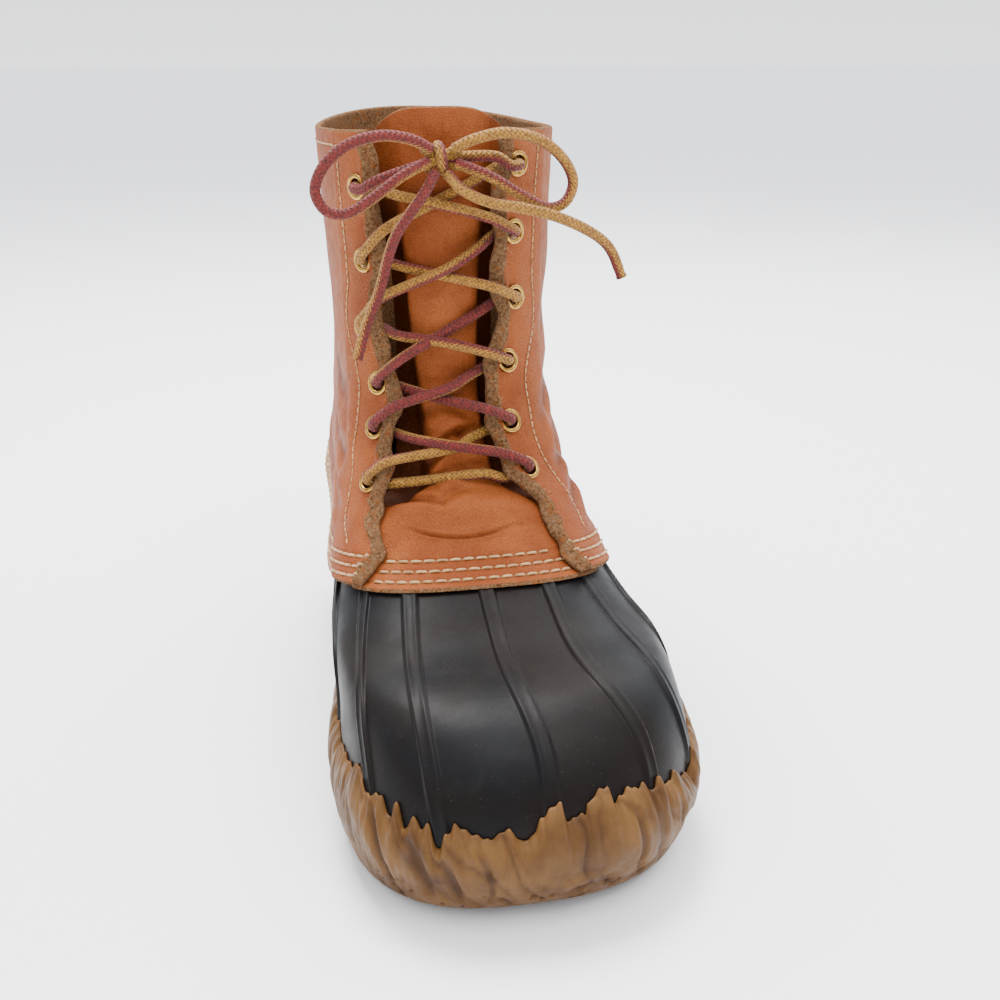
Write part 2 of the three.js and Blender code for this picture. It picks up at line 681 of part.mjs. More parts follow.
const eyeletSides = 8;
function alongAxis(geometry, seat) {
  const turn = new THREE.Quaternion().setFromUnitVectors(new THREE.Vector3(0, 1, 0), seat.axis);
  return geometry.applyQuaternion(turn).translate(...seat.point.toArray());
}

function eyeletHole(seat) {
  const barrel = eyeletBoreRadius + eyeletBarrelWall;
  const cutter = new THREE.CylinderGeometry(barrel + clearance, barrel + clearance, 14, eyeletSides);
  return toSolid(alongAxis(cutter, seat));
}

function eyeletGeometry() {
  const barrel = eyeletBoreRadius + eyeletBarrelWall;
  const deep = -(leatherWall + clearance);
  const profile = [
    [eyeletBoreRadius, deep],
    [barrel, deep],
    [barrel, eyeletFlangeGap],
    [eyeletOuterRadius, eyeletFlangeGap],
    [eyeletBoreRadius, eyeletRim],
    [eyeletBoreRadius, deep],
  ].map(([r, z]) => new THREE.Vector2(r, z));
  const ring = new THREE.LatheGeometry(profile, eyeletSides);
  ring.deleteAttribute("normal");
  ring.deleteAttribute("uv");
  return mergeVertices(ring, 1e-4);
}

const eyeletRows = eyeletLevels.medial.length;
let quarters = toSolid(quartersGeometry());
for (const side of [-1, 1]) {
  for (let row = 0; row < eyeletRows; row += 1) quarters = quarters.subtract(eyeletHole(eyeletSeat(side, row)));
}
addPiece("quarters", fromSolid(quarters), tanLeather);

for (const side of [-1, 1]) {
  for (let row = 0; row < eyeletRows; row += 1) {
    const seat = eyeletSeat(side, row);
    const name = `eyelet_${side < 0 ? "medial" : "lateral"}_${row + 1}`;
    const eyelet = addPiece(name, eyeletGeometry(), brass);
    eyelet.quaternion.setFromUnitVectors(new THREE.Vector3(0, 1, 0), seat.axis);
    eyelet.position.copy(seat.point);
  }
}

// Backstay: a strip over the quarters' back seam
function backstayGeometry() {
  const columns = 6;
  const rows = quarterRows.length - 2;
  const face = (gap) => (i, j) => {
    const level = Math.min(quarterRows[j + 1], collarLevel - 0.03);
    const taper = THREE.MathUtils.lerp(1, 0.8, j / rows);
    const aside = (i / columns - 0.5) * backstayWidth * taper;
    const side = aside < 0 ? 1 : -1;
    const round = 1 + aside / backDistance(level, side);
    return skinAt(level, round, sideFit + leatherWall + clearance + gap);
  };
  return sheetGeometry(columns, rows, face(backstayWall), face(0), false);
}
addPiece("backstay", backstayGeometry(), tanLeather);

// Vamp and tongue: one leather piece, over the rubber in front and inside the quarters above
const tongueLevels = [...quarterRows, 11.2, tongueTopLevel];
const tongueColumns = 16;
function tongueOut(level, across) {
  const sink = shaftWidth * tableAt(tongueRows, level, "level", "sink");
  const puff = shaftWidth * tableAt(tongueRows, level, "level", "puff");
  const crown = Math.max(0, 1 - (across / 0.62) ** 2);
  return clearance - sink + puff * crown;
}

function tongueGeometry() {
  const face = (wall) => (i, j) => {
    const level = tongueLevels[j];
    const across = (2 * i) / tongueColumns - 1;
    const half = shaftWidth * tableAt(tongueRows, level, "level", "half");
    const distance = -across * half;
    return skinAt(level, roundAt(level, distance), tongueOut(level, across) + wall);
  };
  return flipped(sheetGeometry(tongueColumns, tongueLevels.length - 1, face(tongueWall), face(0), false));
}
addPiece("vamp_tongue", tongueGeometry(), tanLeather);

// Lace: each strand leaves an eyelet on the outside, crosses the tongue and dives under the other
// quarter's edge to the next eyelet. Strands of one crossing are joined where they meet.
const laceSides = 5;
function cordSolid(points, radius, steps) {
  const path = new THREE.CatmullRomCurve3(points, false, "centripetal");
  const section = new THREE.Shape();
  for (let i = 0; i < laceSides; i += 1) {
    const turn = (2 * Math.PI * i) / laceSides;
    const method = i ? "lineTo" : "moveTo";
    section[method](radius * Math.cos(turn), radius * Math.sin(turn));
  }
  return new THREE.ExtrudeGeometry(section, { steps, extrudePath: path, bevelEnabled: false });
}

const laceRadius = laceDiameter / 2;
const overEdge = leatherWall + throatBead + laceRadius + 2 * clearance;
function bindingPoint(level, side, distance, out) {
  return skinAt(level, roundAt(level, side * distance), out);
}

function topOfTongue(level) {
  return tongueOut(level, 0) + tongueWall + laceRadius + 4 * clearance;
}

function strand(side, row) {
  const from = eyeletSeat(side, row);
  const to = eyeletSeat(-side, row + 1);
  const start = from.out + eyeletRim + laceRadius + clearance;
  const ending = to.out - leatherWall - 3 * clearance - laceRadius;
  const edgeFrom = throatEdge(from.level, side);
  const edgeTo = throatEdge(to.level, -side);
  const third = (share) => THREE.MathUtils.lerp(from.level, to.level, share);
  const middleOut = Math.max(topOfTongue(third(0.5)), quarterIn);
  return [
    bindingPoint(from.level, side, from.distance, start),
    bindingPoint(third(0.12), side, edgeFrom + 2.5, quarterIn + overEdge),
    bindingPoint(third(0.28), side, edgeFrom - 3.5, quarterIn + overEdge - 0.6),
    bindingPoint(third(0.5), side, 0, middleOut + 1),
    bindingPoint(third(0.74), -side, edgeTo - 4.5, Math.max(ending, topOfTongue(third(0.74)) - 1)),
    bindingPoint(third(0.88), -side, edgeTo + 1.5, ending - 0.2),
    bindingPoint(to.level, -side, to.distance, ending),
  ];
}

function joined(geometries) {
  return fromSolid(geometries.map(toSolid).reduce((all, next) => all.add(next)));
}

for (let row = 0; row + 1 < eyeletRows; row += 1) {
  const pair = [strand(1, row), strand(-1, row)].map((points) => cordSolid(points, laceRadius, 8));
  addPiece(`lace_crossing_${row + 1}`, joined(pair), laceCord);
}

// The lowest bar passes under both throat edges
function lowestBar() {
  const ends = [1, -1].map((side) => {
    const seat = eyeletSeat(side, 0);
    const deep = seat.out - leatherWall - 3 * clearance - laceRadius;
    return { seat, side, deep, edge: throatEdge(seat.level, side) };
  });
  const [a, b] = ends;
  const level = (a.seat.level + b.seat.level) / 2;
  const points = [
    bindingPoint(a.seat.level, a.side, a.seat.distance, a.deep),
    bindingPoint(level, a.side, a.edge - 1, a.deep),
    bindingPoint(level + 0.08, a.side, a.edge / 2, topOfTongue(level + 0.08) + 2.8),
    bindingPoint(level + 0.1, a.side, 0, topOfTongue(level + 0.1)),
    bindingPoint(level + 0.08, b.side, b.edge / 2, topOfTongue(level + 0.08) + 2.8),
    bindingPoint(level, b.side, b.edge - 1, b.deep),
    bindingPoint(b.seat.level, b.side, b.seat.distance, b.deep),
  ];
  return cordSolid(points, laceRadius, 10);
}
addPiece("lace_bar", joined([lowestBar()]), laceCord);

// The boot stands with the middle of its outline over the origin
const box = new THREE.Box3().setFromObject(outsole);
const middle = box.getCenter(new THREE.Vector3());
boot.position.set(-middle.x, -middle.y, -box.min.z);
boot.updateMatrixWorld(true);

// The bow, in the finished boot's own frame. Its cords' points are chosen by hand.
const bowCords = {
  lace_loop_lateral: [
    [-7.3, -6.4, 227.4], [0, -10, 231], [11, -11.5, 233], [23, -11, 230.5], [32, -9.5, 224],
    [36.5, -8.5, 215.5], [33.5, -8.5, 208], [26, -9.5, 206.5], [16, -11, 211.5], [5, -11, 218],
    [-6.5, -6.6, 222.4],
  ],
  lace_loop_medial: [
    [-15.7, -6.4, 227.4], [-23, -10, 231], [-34, -11.5, 232.5], [-45.5, -11, 229.5], [-54, -9.5, 222.5],
    [-57.5, -8.5, 214], [-54, -8.5, 207], [-46.5, -9.5, 206], [-37, -11, 211.5], [-27, -11, 218.5],
    [-16.7, -6.6, 223.1],
  ],
  lace_end_lateral: [
    [-9.7, -6, 218.7], [-5, -11.5, 213.5], [4, -15.5, 209.5], [15, -17, 207.5], [27, -16.5, 204.5],
    [38, -14.5, 200], [46.5, -12, 195], [51.8, -10, 189.5], [56, -9.9, 180],
  ],
  lace_end_medial: [
    [-14.1, -6.2, 219.1], [-18.5, -10.5, 213], [-24.5, -12, 205.5], [-29.5, -11, 198], [-32.5, -9, 189.8],
    [-35.8, -8.2, 178.3], [-41.2, -8, 165.2], [-45.2, -8, 152.4],
  ],
};
const knotCentre = new THREE.Vector3(-11.5, -3, 224);

// From a top eyelet over the throat's edge to the knot
function tieStrand(side) {
  const seat = eyeletSeat(side, eyeletRows - 1);
  const edge = throatEdge(seat.level, side);
  return [
    bindingPoint(seat.level, side, seat.distance, seat.out + eyeletRim + laceRadius + clearance),
    bindingPoint(seat.level, side, edge + 2.5, quarterIn + overEdge),
    bindingPoint(seat.level + 0.1, side, edge - 3.5, quarterIn + overEdge),
    knotCentre.clone().sub(boot.position),
  ];
}

function knotGeometry() {
  const ties = [1, -1].map((side) => cordSolid(tieStrand(side), laceRadius, 5));
  const ball = new THREE.SphereGeometry(knotRadius, 10, 7).translate(...knotCentre.clone().sub(boot.position).toArray());
  return joined([ball, ...ties]);
}
addPiece("lace_knot", knotGeometry(), laceCord);

for (const [name, points] of Object.entries(bowCords)) {
  const route = points.map((point) => new THREE.Vector3(...point).sub(boot.position));
  addPiece(name, joined([cordSolid(route, laceRadius, Math.round(1.6 * points.length))]), laceCord);
}

export default boot;
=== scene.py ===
from math import cos, pi, sin

import bpy
import numpy as np
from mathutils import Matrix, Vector


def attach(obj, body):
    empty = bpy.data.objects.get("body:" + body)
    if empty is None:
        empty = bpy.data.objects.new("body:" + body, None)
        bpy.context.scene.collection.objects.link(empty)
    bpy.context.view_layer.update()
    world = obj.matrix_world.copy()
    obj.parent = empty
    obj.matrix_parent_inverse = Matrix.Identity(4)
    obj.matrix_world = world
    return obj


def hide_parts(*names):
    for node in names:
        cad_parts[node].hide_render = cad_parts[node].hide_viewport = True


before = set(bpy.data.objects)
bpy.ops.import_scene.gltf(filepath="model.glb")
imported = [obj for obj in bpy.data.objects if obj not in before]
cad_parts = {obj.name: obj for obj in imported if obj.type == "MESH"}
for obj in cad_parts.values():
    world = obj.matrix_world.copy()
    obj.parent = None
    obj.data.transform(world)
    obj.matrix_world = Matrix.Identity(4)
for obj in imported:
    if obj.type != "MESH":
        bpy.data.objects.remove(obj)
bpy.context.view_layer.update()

# Lengths are in millimetres until a mesh is made, as in the part's own source.
MM = 0.001

# Overall sizes
BOOT_LENGTH = 300.0
BALL_WIDTH = 123.0
RUBBER_HEIGHT = 82.0
BOOT_HEIGHT = 236.0
SHAFT_WIDTH = 84.0
SHAFT_DEPTH = 124.0
# From the last's own origin to the part's
TO_FRAME = np.array([-6.25, 0.12, 0.0])

# Walls and laps
CLEARANCE = 0.3
RUBBER_WALL = 3.0
LEATHER_WALL = 2.4
TONGUE_WALL = 2.0
BACKSTAY_WALL = 1.8
BACKSTAY_WIDTH = 26.0
QUARTER_OVER_TONGUE = 2.8
QUARTER_OVER_RUBBER = 0.7
LACE_RADIUS = 2.0
EYELET_RADIUS = 4.9
EYELET_BORE = 3.1
EYELET_INSET = 8.0
EYELET_ROWS = 6
SOLE_THICKNESS = 9.5
RAND_BULGE = 5.5

# Levels on the last: 0 at the seat on the sole, 11 at the collar
RAND_LEVEL = 1.34
LEATHER_EDGE = 4.75
RUBBER_TOP = 5.85
COLLAR = 11.0
TONGUE_TOP = 11.35
# Length of one level up the skin near the collar, and over the foot
TOP_STEP = 21.0
MM_PER_LEVEL = 24.0


def columns(names, rows):
    """A short table, as one array for each named column."""
    return dict(zip(names.split(), np.array(rows, float).T))


# Sections of the rubber lower. front and back are shares of the length, the ups of the rubber's height
# and the sideways columns of the ball width. foot is how much the sole's outline counts.
LOWER = columns(
    "front front_up front_in back back_up back_in side_up foot medial lateral toe_cap heel_cap"
    " medial_round lateral_round heel_round",
    [
        (0.967, 0.146, 0.016, 0.030, 0.134, -0.016, 0.122, 1.00, 0.423, 0.520, 0.25, 0.15, 2.7, 2.4, 2.3),
        (0.987, 0.366, 0.016, 0.013, 0.390, -0.016, 0.366, 1.00, 0.447, 0.553, 0.25, 0.15, 2.7, 2.4, 2.3),
        (0.960, 0.610, 0.008, 0.010, 0.585, -0.016, 0.512, 0.97, 0.447, 0.553, 0.27, 0.15, 2.7, 2.4, 2.3),
        (0.897, 0.768, 0.000, 0.013, 0.732, -0.016, 0.622, 0.88, 0.447, 0.537, 0.30, 0.16, 2.8, 2.5, 2.3),
        (0.783, 0.829, -0.008, 0.020, 0.878, -0.016, 0.695, 0.62, 0.439, 0.496, 0.33, 0.17, 2.9, 2.7, 2.3),
        (0.667, 0.963, -0.016, 0.030, 1.000, -0.016, 0.768, 0.38, 0.415, 0.455, 0.36, 0.19, 3.0, 3.0, 2.2),
    ],
)
# Sections of the shaft, with depth as a share of its depth and the rest of its height and width
SHAFT = columns(
    "depth front_up front_in back back_up back_in side_up foot medial lateral toe_cap heel_cap"
    " medial_round lateral_round heel_round",
    [
        (1.363, 0.071, -0.036, 0.040, 0.078, -0.024, -0.026, 0.2, 0.560, 0.595, 0.40, 0.22, 2.9, 2.9, 2.2),
        (1.185, 0.182, -0.048, 0.060, 0.195, -0.024, 0.130, 0.1, 0.524, 0.548, 0.44, 0.30, 2.6, 2.6, 2.2),
        (1.048, 0.344, -0.060, 0.077, 0.351, -0.012, 0.325, 0.0, 0.488, 0.500, 0.48, 0.42, 2.4, 2.4, 2.2),
        (1.000, 0.539, -0.060, 0.077, 0.545, -0.012, 0.526, 0.0, 0.488, 0.506, 0.50, 0.48, 2.4, 2.4, 2.2),
        (1.024, 0.766, -0.060, 0.063, 0.766, -0.012, 0.753, 0.0, 0.506, 0.530, 0.50, 0.50, 2.4, 2.4, 2.2),
        (1.065, 0.987, -0.060, 0.050, 1.006, -0.012, 0.974, 0.0, 0.524, 0.548, 0.50, 0.50, 2.4, 2.4, 2.2),
        (1.090, 1.104, -0.060, 0.040, 1.117, -0.012, 1.084, 0.0, 0.530, 0.555, 0.50, 0.50, 2.4, 2.4, 2.2),
    ],
)
FOOTPRINT = columns(
    "along medial lateral",
    [
        (0, 0.76, 0.63), (0.15, 0.78, 0.64), (0.33, 0.74, 0.70), (0.5, 0.80, 0.84),
        (0.65, 0.95, 0.95), (0.8, 1, 1), (1, 1, 1),
    ],
)
# The throat's edges: distance from the front's middle line as shares of the shaft's width
THROAT = columns(
    "level medial lateral",
    [
        (4.7, 0.520, 0.494), (5.05, 0.440, 0.418), (5.5, 0.355, 0.377), (6.0, 0.372, 0.360),
        (6.7, 0.290, 0.243), (7.2, 0.262, 0.182), (7.75, 0.208, 0.170), (8.2, 0.192, 0.165),
        (8.9, 0.262, 0.230), (9.4, 0.236, 0.216), (10.2, 0.250, 0.225), (11, 0.275, 0.250),
    ],
)
EYELET_LEVELS = {-1: [6.7, 7.53, 8.15, 8.86, 9.62, 10.38], 1: [6.78, 7.55, 8.4, 9.18, 9.9, 10.6]}
# The tongue's half width, how far it lies inside the quarters and how far it puffs out again
TONGUE = columns(
    "level half sink puff",
    [
        (4.7, 0.63, 0, 0), (5.85, 0.61, 0, 0), (6.25, 0.56, 0.02, 0.045), (6.7, 0.48, 0.078, 0.01),
        (7.3, 0.41, 0.085, 0.03), (8, 0.38, 0.085, 0.02), (9.5, 0.38, 0.085, 0.03), (11, 0.37, 0.08, 0.02),
        (11.35, 0.30, 0.08, 0.01),
    ],
)
# Ribs on the rubber, placed from 0 at the front round the lateral side to 2
RIBS = columns(
    "edge vamp toe_box rand",
    [
        (-0.174, -0.181, -0.181, -0.165), (-0.097, -0.099, -0.093, -0.086), (0.01, 0.007, 0.015, 0.012),
        (0.097, 0.092, 0.114, 0.118), (0.165, 0.182, 0.193, 0.203), (0.27, 0.285, 0.3, 0.315),
        (0.42, 0.435, 0.45, 0.46), (0.78, 0.775, 0.77, 0.765), (1.22, 1.225, 1.23, 1.235),
        (1.58, 1.565, 1.55, 1.54), (1.72, 1.705, 1.69, 1.675),
    ],
)


def smooth(x, low, high):
    t = np.clip((x - low) / (high - low), 0, 1)
    return t * t * (3 - 2 * t)


def hermite(before, a, b, after, f):
    blend = f * f * (3 - 2 * f)
    return (a * (1 - blend) + b * blend + (b - before) / 2 * f * (1 - f) ** 2
            - (after - a) / 2 * f * f * (1 - f))


def curve(table, key, place, column):
    """A smooth curve through the rows of a table."""
    at, value = table[key], table[column]
    k = np.clip(np.searchsorted(at, place) - 1, 0, len(at) - 2)
    f = np.clip((place - at[k]) / (at[k + 1] - at[k]), 0, 1)
    ends = np.concatenate([[2 * value[0] - value[1]], value, [2 * value[-1] - value[-2]]])
    return hermite(ends[k], ends[k + 1], ends[k + 2], ends[k + 3], f)


def all_sections():
    """The rows of both tables in millimetres, one array for each column."""
    over = BOOT_HEIGHT - RUBBER_HEIGHT
    out = {}
    out["front_y"] = np.concatenate([
        BOOT_LENGTH * (0.5 - LOWER["front"]),
        BOOT_LENGTH * (0.5 - SHAFT["back"]) - SHAFT_DEPTH * SHAFT["depth"],
    ])
    out["back_y"] = BOOT_LENGTH * (0.5 - np.concatenate([LOWER["back"], SHAFT["back"]]))
    for name in ("front_up", "back_up", "side_up"):
        out[name] = np.concatenate([RUBBER_HEIGHT * LOWER[name], RUBBER_HEIGHT + over * SHAFT[name]])
    for name in ("front_in", "back_in", "medial", "lateral"):
        out[name] = np.concatenate([BALL_WIDTH * LOWER[name], SHAFT_WIDTH * SHAFT[name]])
    for name in ("foot", "toe_cap", "heel_cap", "medial_round", "lateral_round", "heel_round"):
        out[name] = np.concatenate([LOWER[name], SHAFT[name]])
    return out


SECTIONS = all_sections()
TOP = len(SECTIONS["front_y"]) - 1


def section(level):
    at = min(max(level, 0), TOP - 1e-9)
    k = int(at)
    row = {}
    for name, value in SECTIONS.items():
        a, b = value[k], value[k + 1]
        before = value[k - 1] if k > 0 else 2 * a - b
        after = value[k + 2] if k + 2 <= TOP else 2 * b - a
        row[name] = hermite(before, a, b, after, at - k)
    return row


def half_ring(row, side, steps=90):
    """Half of a section, from the middle of the back to the middle of the front."""
    name = "medial" if side < 0 else "lateral"
    turn = np.linspace(0, pi / 2, steps)
    opening = np.maximum(np.cos(turn), 0)
    shape = row[name + "_round"]
    heel = row["heel_cap"] * (1 - opening ** (2 / row["heel_round"]))
    toe = 1 - row["toe_cap"] * (1 - np.sin(turn) ** (2 / shape))
    straight = np.linspace(row["heel_cap"], 1 - row["toe_cap"], steps)[1:-1]
    along = np.concatenate([heel, straight, toe])
    out = np.concatenate([np.sin(turn) ** (2 / row["heel_round"]), np.ones(len(straight)),
                          opening ** (2 / shape)])
    reach = row[name] * (1 + (curve(FOOTPRINT, "along", along, name) - 1) * row["foot"])
    middle = row["back_in"] + (row["front_in"] - row["back_in"]) * along
    rise = np.maximum(0, (along - 0.45) / 0.55) ** 2
    fall = np.maximum(0, (0.45 - along) / 0.45) ** 2
    side_up = row["side_up"]
    points = np.stack([
        middle + (side * reach - middle) * out,
        row["back_y"] + (row["front_y"] - row["back_y"]) * along,
        side_up + (row["front_up"] - side_up) * rise + (row["back_up"] - side_up) * fall,
    ], axis=1)
    run = np.concatenate([[0], np.cumsum(np.linalg.norm(np.diff(points, axis=0), axis=1))])
    return points, run


LEVELS_PER_ROW = 50
HALF_COLUMNS = 720


def build_skin():
    """The last's skin, its outward normals and its half girths, on a fine grid of level and round."""
    count = TOP * LEVELS_PER_ROW + 1
    skin = np.empty((count, 2 * HALF_COLUMNS + 1, 3))
    girth = np.empty((count, 2))
    share = np.linspace(0, 1, HALF_COLUMNS + 1)
    for k in range(count):
        row = section(k / LEVELS_PER_ROW)
        for side in (1, -1):
            points, run = half_ring(row, side)
            ring = np.stack([np.interp(share * run[-1], run, points[:, i]) for i in range(3)], axis=1)
            if side > 0:
                skin[k, :HALF_COLUMNS + 1] = ring[::-1]
            else:
                skin[k, HALF_COLUMNS:] = ring
            girth[k, 0 if side > 0 else 1] = run[-1]
    up = np.gradient(skin, axis=0)
    around = np.empty_like(skin)
    around[:, 1:-1] = skin[:, 2:] - skin[:, :-2]
    around[:, 0] = around[:, -1] = skin[:, 1] - skin[:, -2]
    normal = np.cross(around, up)
    normal /= np.linalg.norm(normal, axis=2, keepdims=True)
    return skin, normal, girth


SKIN, NORMAL, GIRTH = build_skin()


def look_up(grid, level, turn):
    y = np.clip(level, 0, TOP - 1e-6) * LEVELS_PER_ROW
    x = (np.asarray(turn) % 2) * HALF_COLUMNS
    j, i = np.floor(y).astype(int), np.floor(x).astype(int)
    fy, fx = (y - j)[..., None], (x - i)[..., None]
    low = grid[j, i] * (1 - fx) + grid[j, i + 1] * fx
    high = grid[j + 1, i] * (1 - fx) + grid[j + 1, i + 1] * fx
    return low * (1 - fy) + high * fy


def normals_at(level, turn):
    normal = look_up(NORMAL, level, turn)
    return normal / np.linalg.norm(normal, axis=-1, keepdims=True)


def on_last(level, turn, out):
    """Points at a level and a turn round the boot, a distance out from the last."""
    level, turn, out = np.broadcast_arrays(level, turn, out)
    return look_up(SKIN, level, turn) + normals_at(level, turn) * out[..., None]


def girth_at(level, side):
    y = np.clip(level, 0, TOP) * LEVELS_PER_ROW
    return np.interp(y, np.arange(len(GIRTH)), GIRTH[:, 0 if side > 0 else 1])


def turn_at(level, distance):
    """The turn for a distance from the front's middle line, positive to the lateral side."""
    half = np.where(distance < 0, girth_at(level, -1), girth_at(level, 1))
    return (distance / half) % 2


def distance_at(level, turn):
    turned = np.asarray(turn) % 2
    return np.where(turned <= 1, turned * girth_at(level, 1), -(2 - turned) * girth_at(level, -1))


def noise(points, size, seed):
    """A smooth random swell over points, from -1 to 1, with lumps of about that size."""
    lattice = np.random.default_rng(seed).uniform(-1, 1, (24, 24, 24))
    q = np.asarray(points) / size
    k = np.floor(q).astype(int)
    f = q - k
    f = f * f * (3 - 2 * f)
    total = np.zeros(q.shape[:-1])
    for corner in np.ndindex(2, 2, 2):
        weight = np.prod([f[..., a] if corner[a] else 1 - f[..., a] for a in range(3)], axis=0)
        at = [(k[..., a] + corner[a]) % 24 for a in range(3)]
        total += weight * lattice[at[0], at[1], at[2]]
    return total


def crease_relief(table, level, distance, scale=MM_PER_LEVEL):
    """Troughs with a soft ridge along each side, bowed a little from one place to another."""
    relief = np.zeros(np.shape(level))
    for k in range(len(table["level"])):
        start = np.array([table["distance"][k], table["level"][k] * scale])
        end = np.array([table["to_distance"][k], table["to_level"][k] * scale])
        run = end - start
        dx, dy = distance - start[0], level * scale - start[1]
        t = (dx * run[0] + dy * run[1]) / np.dot(run, run)
        bow = 0.12 * np.linalg.norm(run) * np.sin(pi * np.clip(t, 0, 1))
        away = (dx * run[1] - dy * run[0]) / np.linalg.norm(run) + bow
        fade = smooth(t, -0.12, 0.25) * (1 - smooth(t, 0.75, 1.12))
        width = table["width"][k]
        shoulders = np.exp(-(((np.abs(away) - 1.9 * width) / width) ** 2))
        trough = np.exp(-((away / width) ** 2)) - 0.45 * shoulders
        relief -= table["depth"][k] * trough * fade
    return relief


# Meshes
def grid_faces(first, rows, count, wrap_columns=False, wrap_rows=False):
    """Four-sided faces of a grid of points, whose columns or rows may close on themselves."""
    j = np.arange(rows if wrap_rows else rows - 1)
    i = np.arange(count if wrap_columns else count - 1)
    jj, ii = np.meshgrid(j, i, indexing="ij")
    up, along = (jj + 1) % rows, (ii + 1) % count
    faces = np.stack([jj * count + ii, jj * count + along, up * count + along, up * count + ii], axis=-1)
    return first + faces.reshape(-1, 4)


def make_mesh(name, points, faces, material, slot, nodes=(), marks=None):
    """A finished piece from points in millimetres. marks are per-point values for its material."""
    mesh = bpy.data.meshes.new(name)
    points = (np.asarray(points, float).reshape(-1, 3) + TO_FRAME) * MM
    mesh.from_pydata(points.tolist(), [], faces if isinstance(faces, list) else faces.tolist())
    mesh.validate()
    mesh.shade_smooth()
    mesh.materials.append(material)
    piece = bpy.data.objects.new(name, mesh)
    bpy.context.scene.collection.objects.link(piece)
    for key, values in (marks or {}).items():
        layer = mesh.attributes.new(key, "FLOAT", "POINT")
        layer.data.foreach_set("value", np.asarray(values, np.float32).ravel())
    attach(piece, "root")
    if nodes:
        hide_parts(*nodes)
    return piece


def wall_faces(rows, count, closed, inner_rows=None):
    """Faces of a wall: its outer grid, its inner grid and the rims that join them."""
    size = rows * count
    inner_rows = inner_rows or rows
    outer = grid_faces(0, rows, count, closed)
    inner = grid_faces(size, inner_rows, count, closed)[:, ::-1]
    i = np.arange(count if closed else count - 1)
    n = (i + 1) % count
    top, inner_top = (rows - 1) * count, size + (inner_rows - 1) * count
    rims = [np.stack([i, i + size, n + size, n], axis=1),
            np.stack([top + i, top + n, inner_top + n, inner_top + i], axis=1)]
    if not closed:
        j = np.arange(rows - 1) * count
        last = j + count - 1
        rims.append(np.stack([j, j + count, j + count + size, j + size], axis=1))
        rims.append(np.stack([last, last + size, last + count + size, last + count], axis=1))
    return np.concatenate([outer, inner] + rims)


def rounding(distance, radius):
    """How much of a wall's thickness is left near an edge that is rounded over."""
    t = np.clip(distance / radius, 0.0, 1.0)
    return np.maximum(np.sqrt(1 - (1 - t) ** 2), 0.08)


def tube(points, radius, sides):
    """Points and faces of a round cord along a line, closed at its ends."""
    points = np.asarray(points, float)
    radius = np.broadcast_to(radius, len(points))
    tangent = np.gradient(points, axis=0)
    tangent /= np.linalg.norm(tangent, axis=1, keepdims=True)
    start = np.cross(tangent[0], [0.3, 0.2, 1.0])
    side = start / np.linalg.norm(start)
    rings = []
    turns = np.linspace(0, 2 * pi, sides, endpoint=False)
    for point, along, r in zip(points, tangent, radius):
        side = side - along * np.dot(side, along)
        side /= np.linalg.norm(side)
        other = np.cross(along, side)
        rings.append(point + r * (np.cos(turns)[:, None] * side + np.sin(turns)[:, None] * other))
    rings = np.array(rings)
    faces = grid_faces(0, len(points), sides, True).tolist()
    faces.append(list(range(sides))[::-1])
    faces.append([(len(points) - 1) * sides + i for i in range(sides)])
    return rings.reshape(-1, 3), faces


def gathered(parts):
    """Several sets of points and faces as one."""
    points, faces, first = [], [], 0
    for part_points, part_faces in parts:
        points.append(part_points)
        faces += [[first + v for v in face] for face in part_faces]
        first += len(part_points)
    return np.concatenate(points), faces


def spline(points, count):
    """A smooth line through points, with its new points evenly spread."""
    points = np.asarray(points, float)
    padded = np.concatenate([[2 * points[0] - points[1]], points, [2 * points[-1] - points[-2]]])
    fine = []
    for k in range(len(points) - 1):
        f = np.linspace(0, 1, 24, endpoint=False)[:, None]
        fine.append(hermite(padded[k], padded[k + 1], padded[k + 2], padded[k + 3], f))
    fine = np.concatenate(fine + [points[-1:]])
    run = np.concatenate([[0], np.cumsum(np.linalg.norm(np.diff(fine, axis=0), axis=1))])
    at = np.linspace(0, run[-1], count)
    return np.stack([np.interp(at, run, fine[:, i]) for i in range(3)], axis=1)


def line_length(points):
    return float(np.sum(np.linalg.norm(np.diff(np.asarray(points), axis=0), axis=1)))


# Camera: where the photograph was taken from, turned to look at this one boot
CAMERA_AT = Vector((-71.4, -433.3, 258.7)) * MM
LOOK_AT = Vector((1.3, -50.0, 108.2)) * MM
LENS = 41.5


def add_camera():
    data = bpy.data.cameras.new("camera")
    data.lens = LENS
    data.sensor_width = 36
    data.clip_start = 0.01
    camera = bpy.data.objects.new("camera", data)
    bpy.context.scene.collection.objects.link(camera)
    camera.location = CAMERA_AT
    camera.rotation_euler = (LOOK_AT - CAMERA_AT).to_track_quat("-Z", "Y").to_euler()
    bpy.context.scene.camera = camera


add_camera()


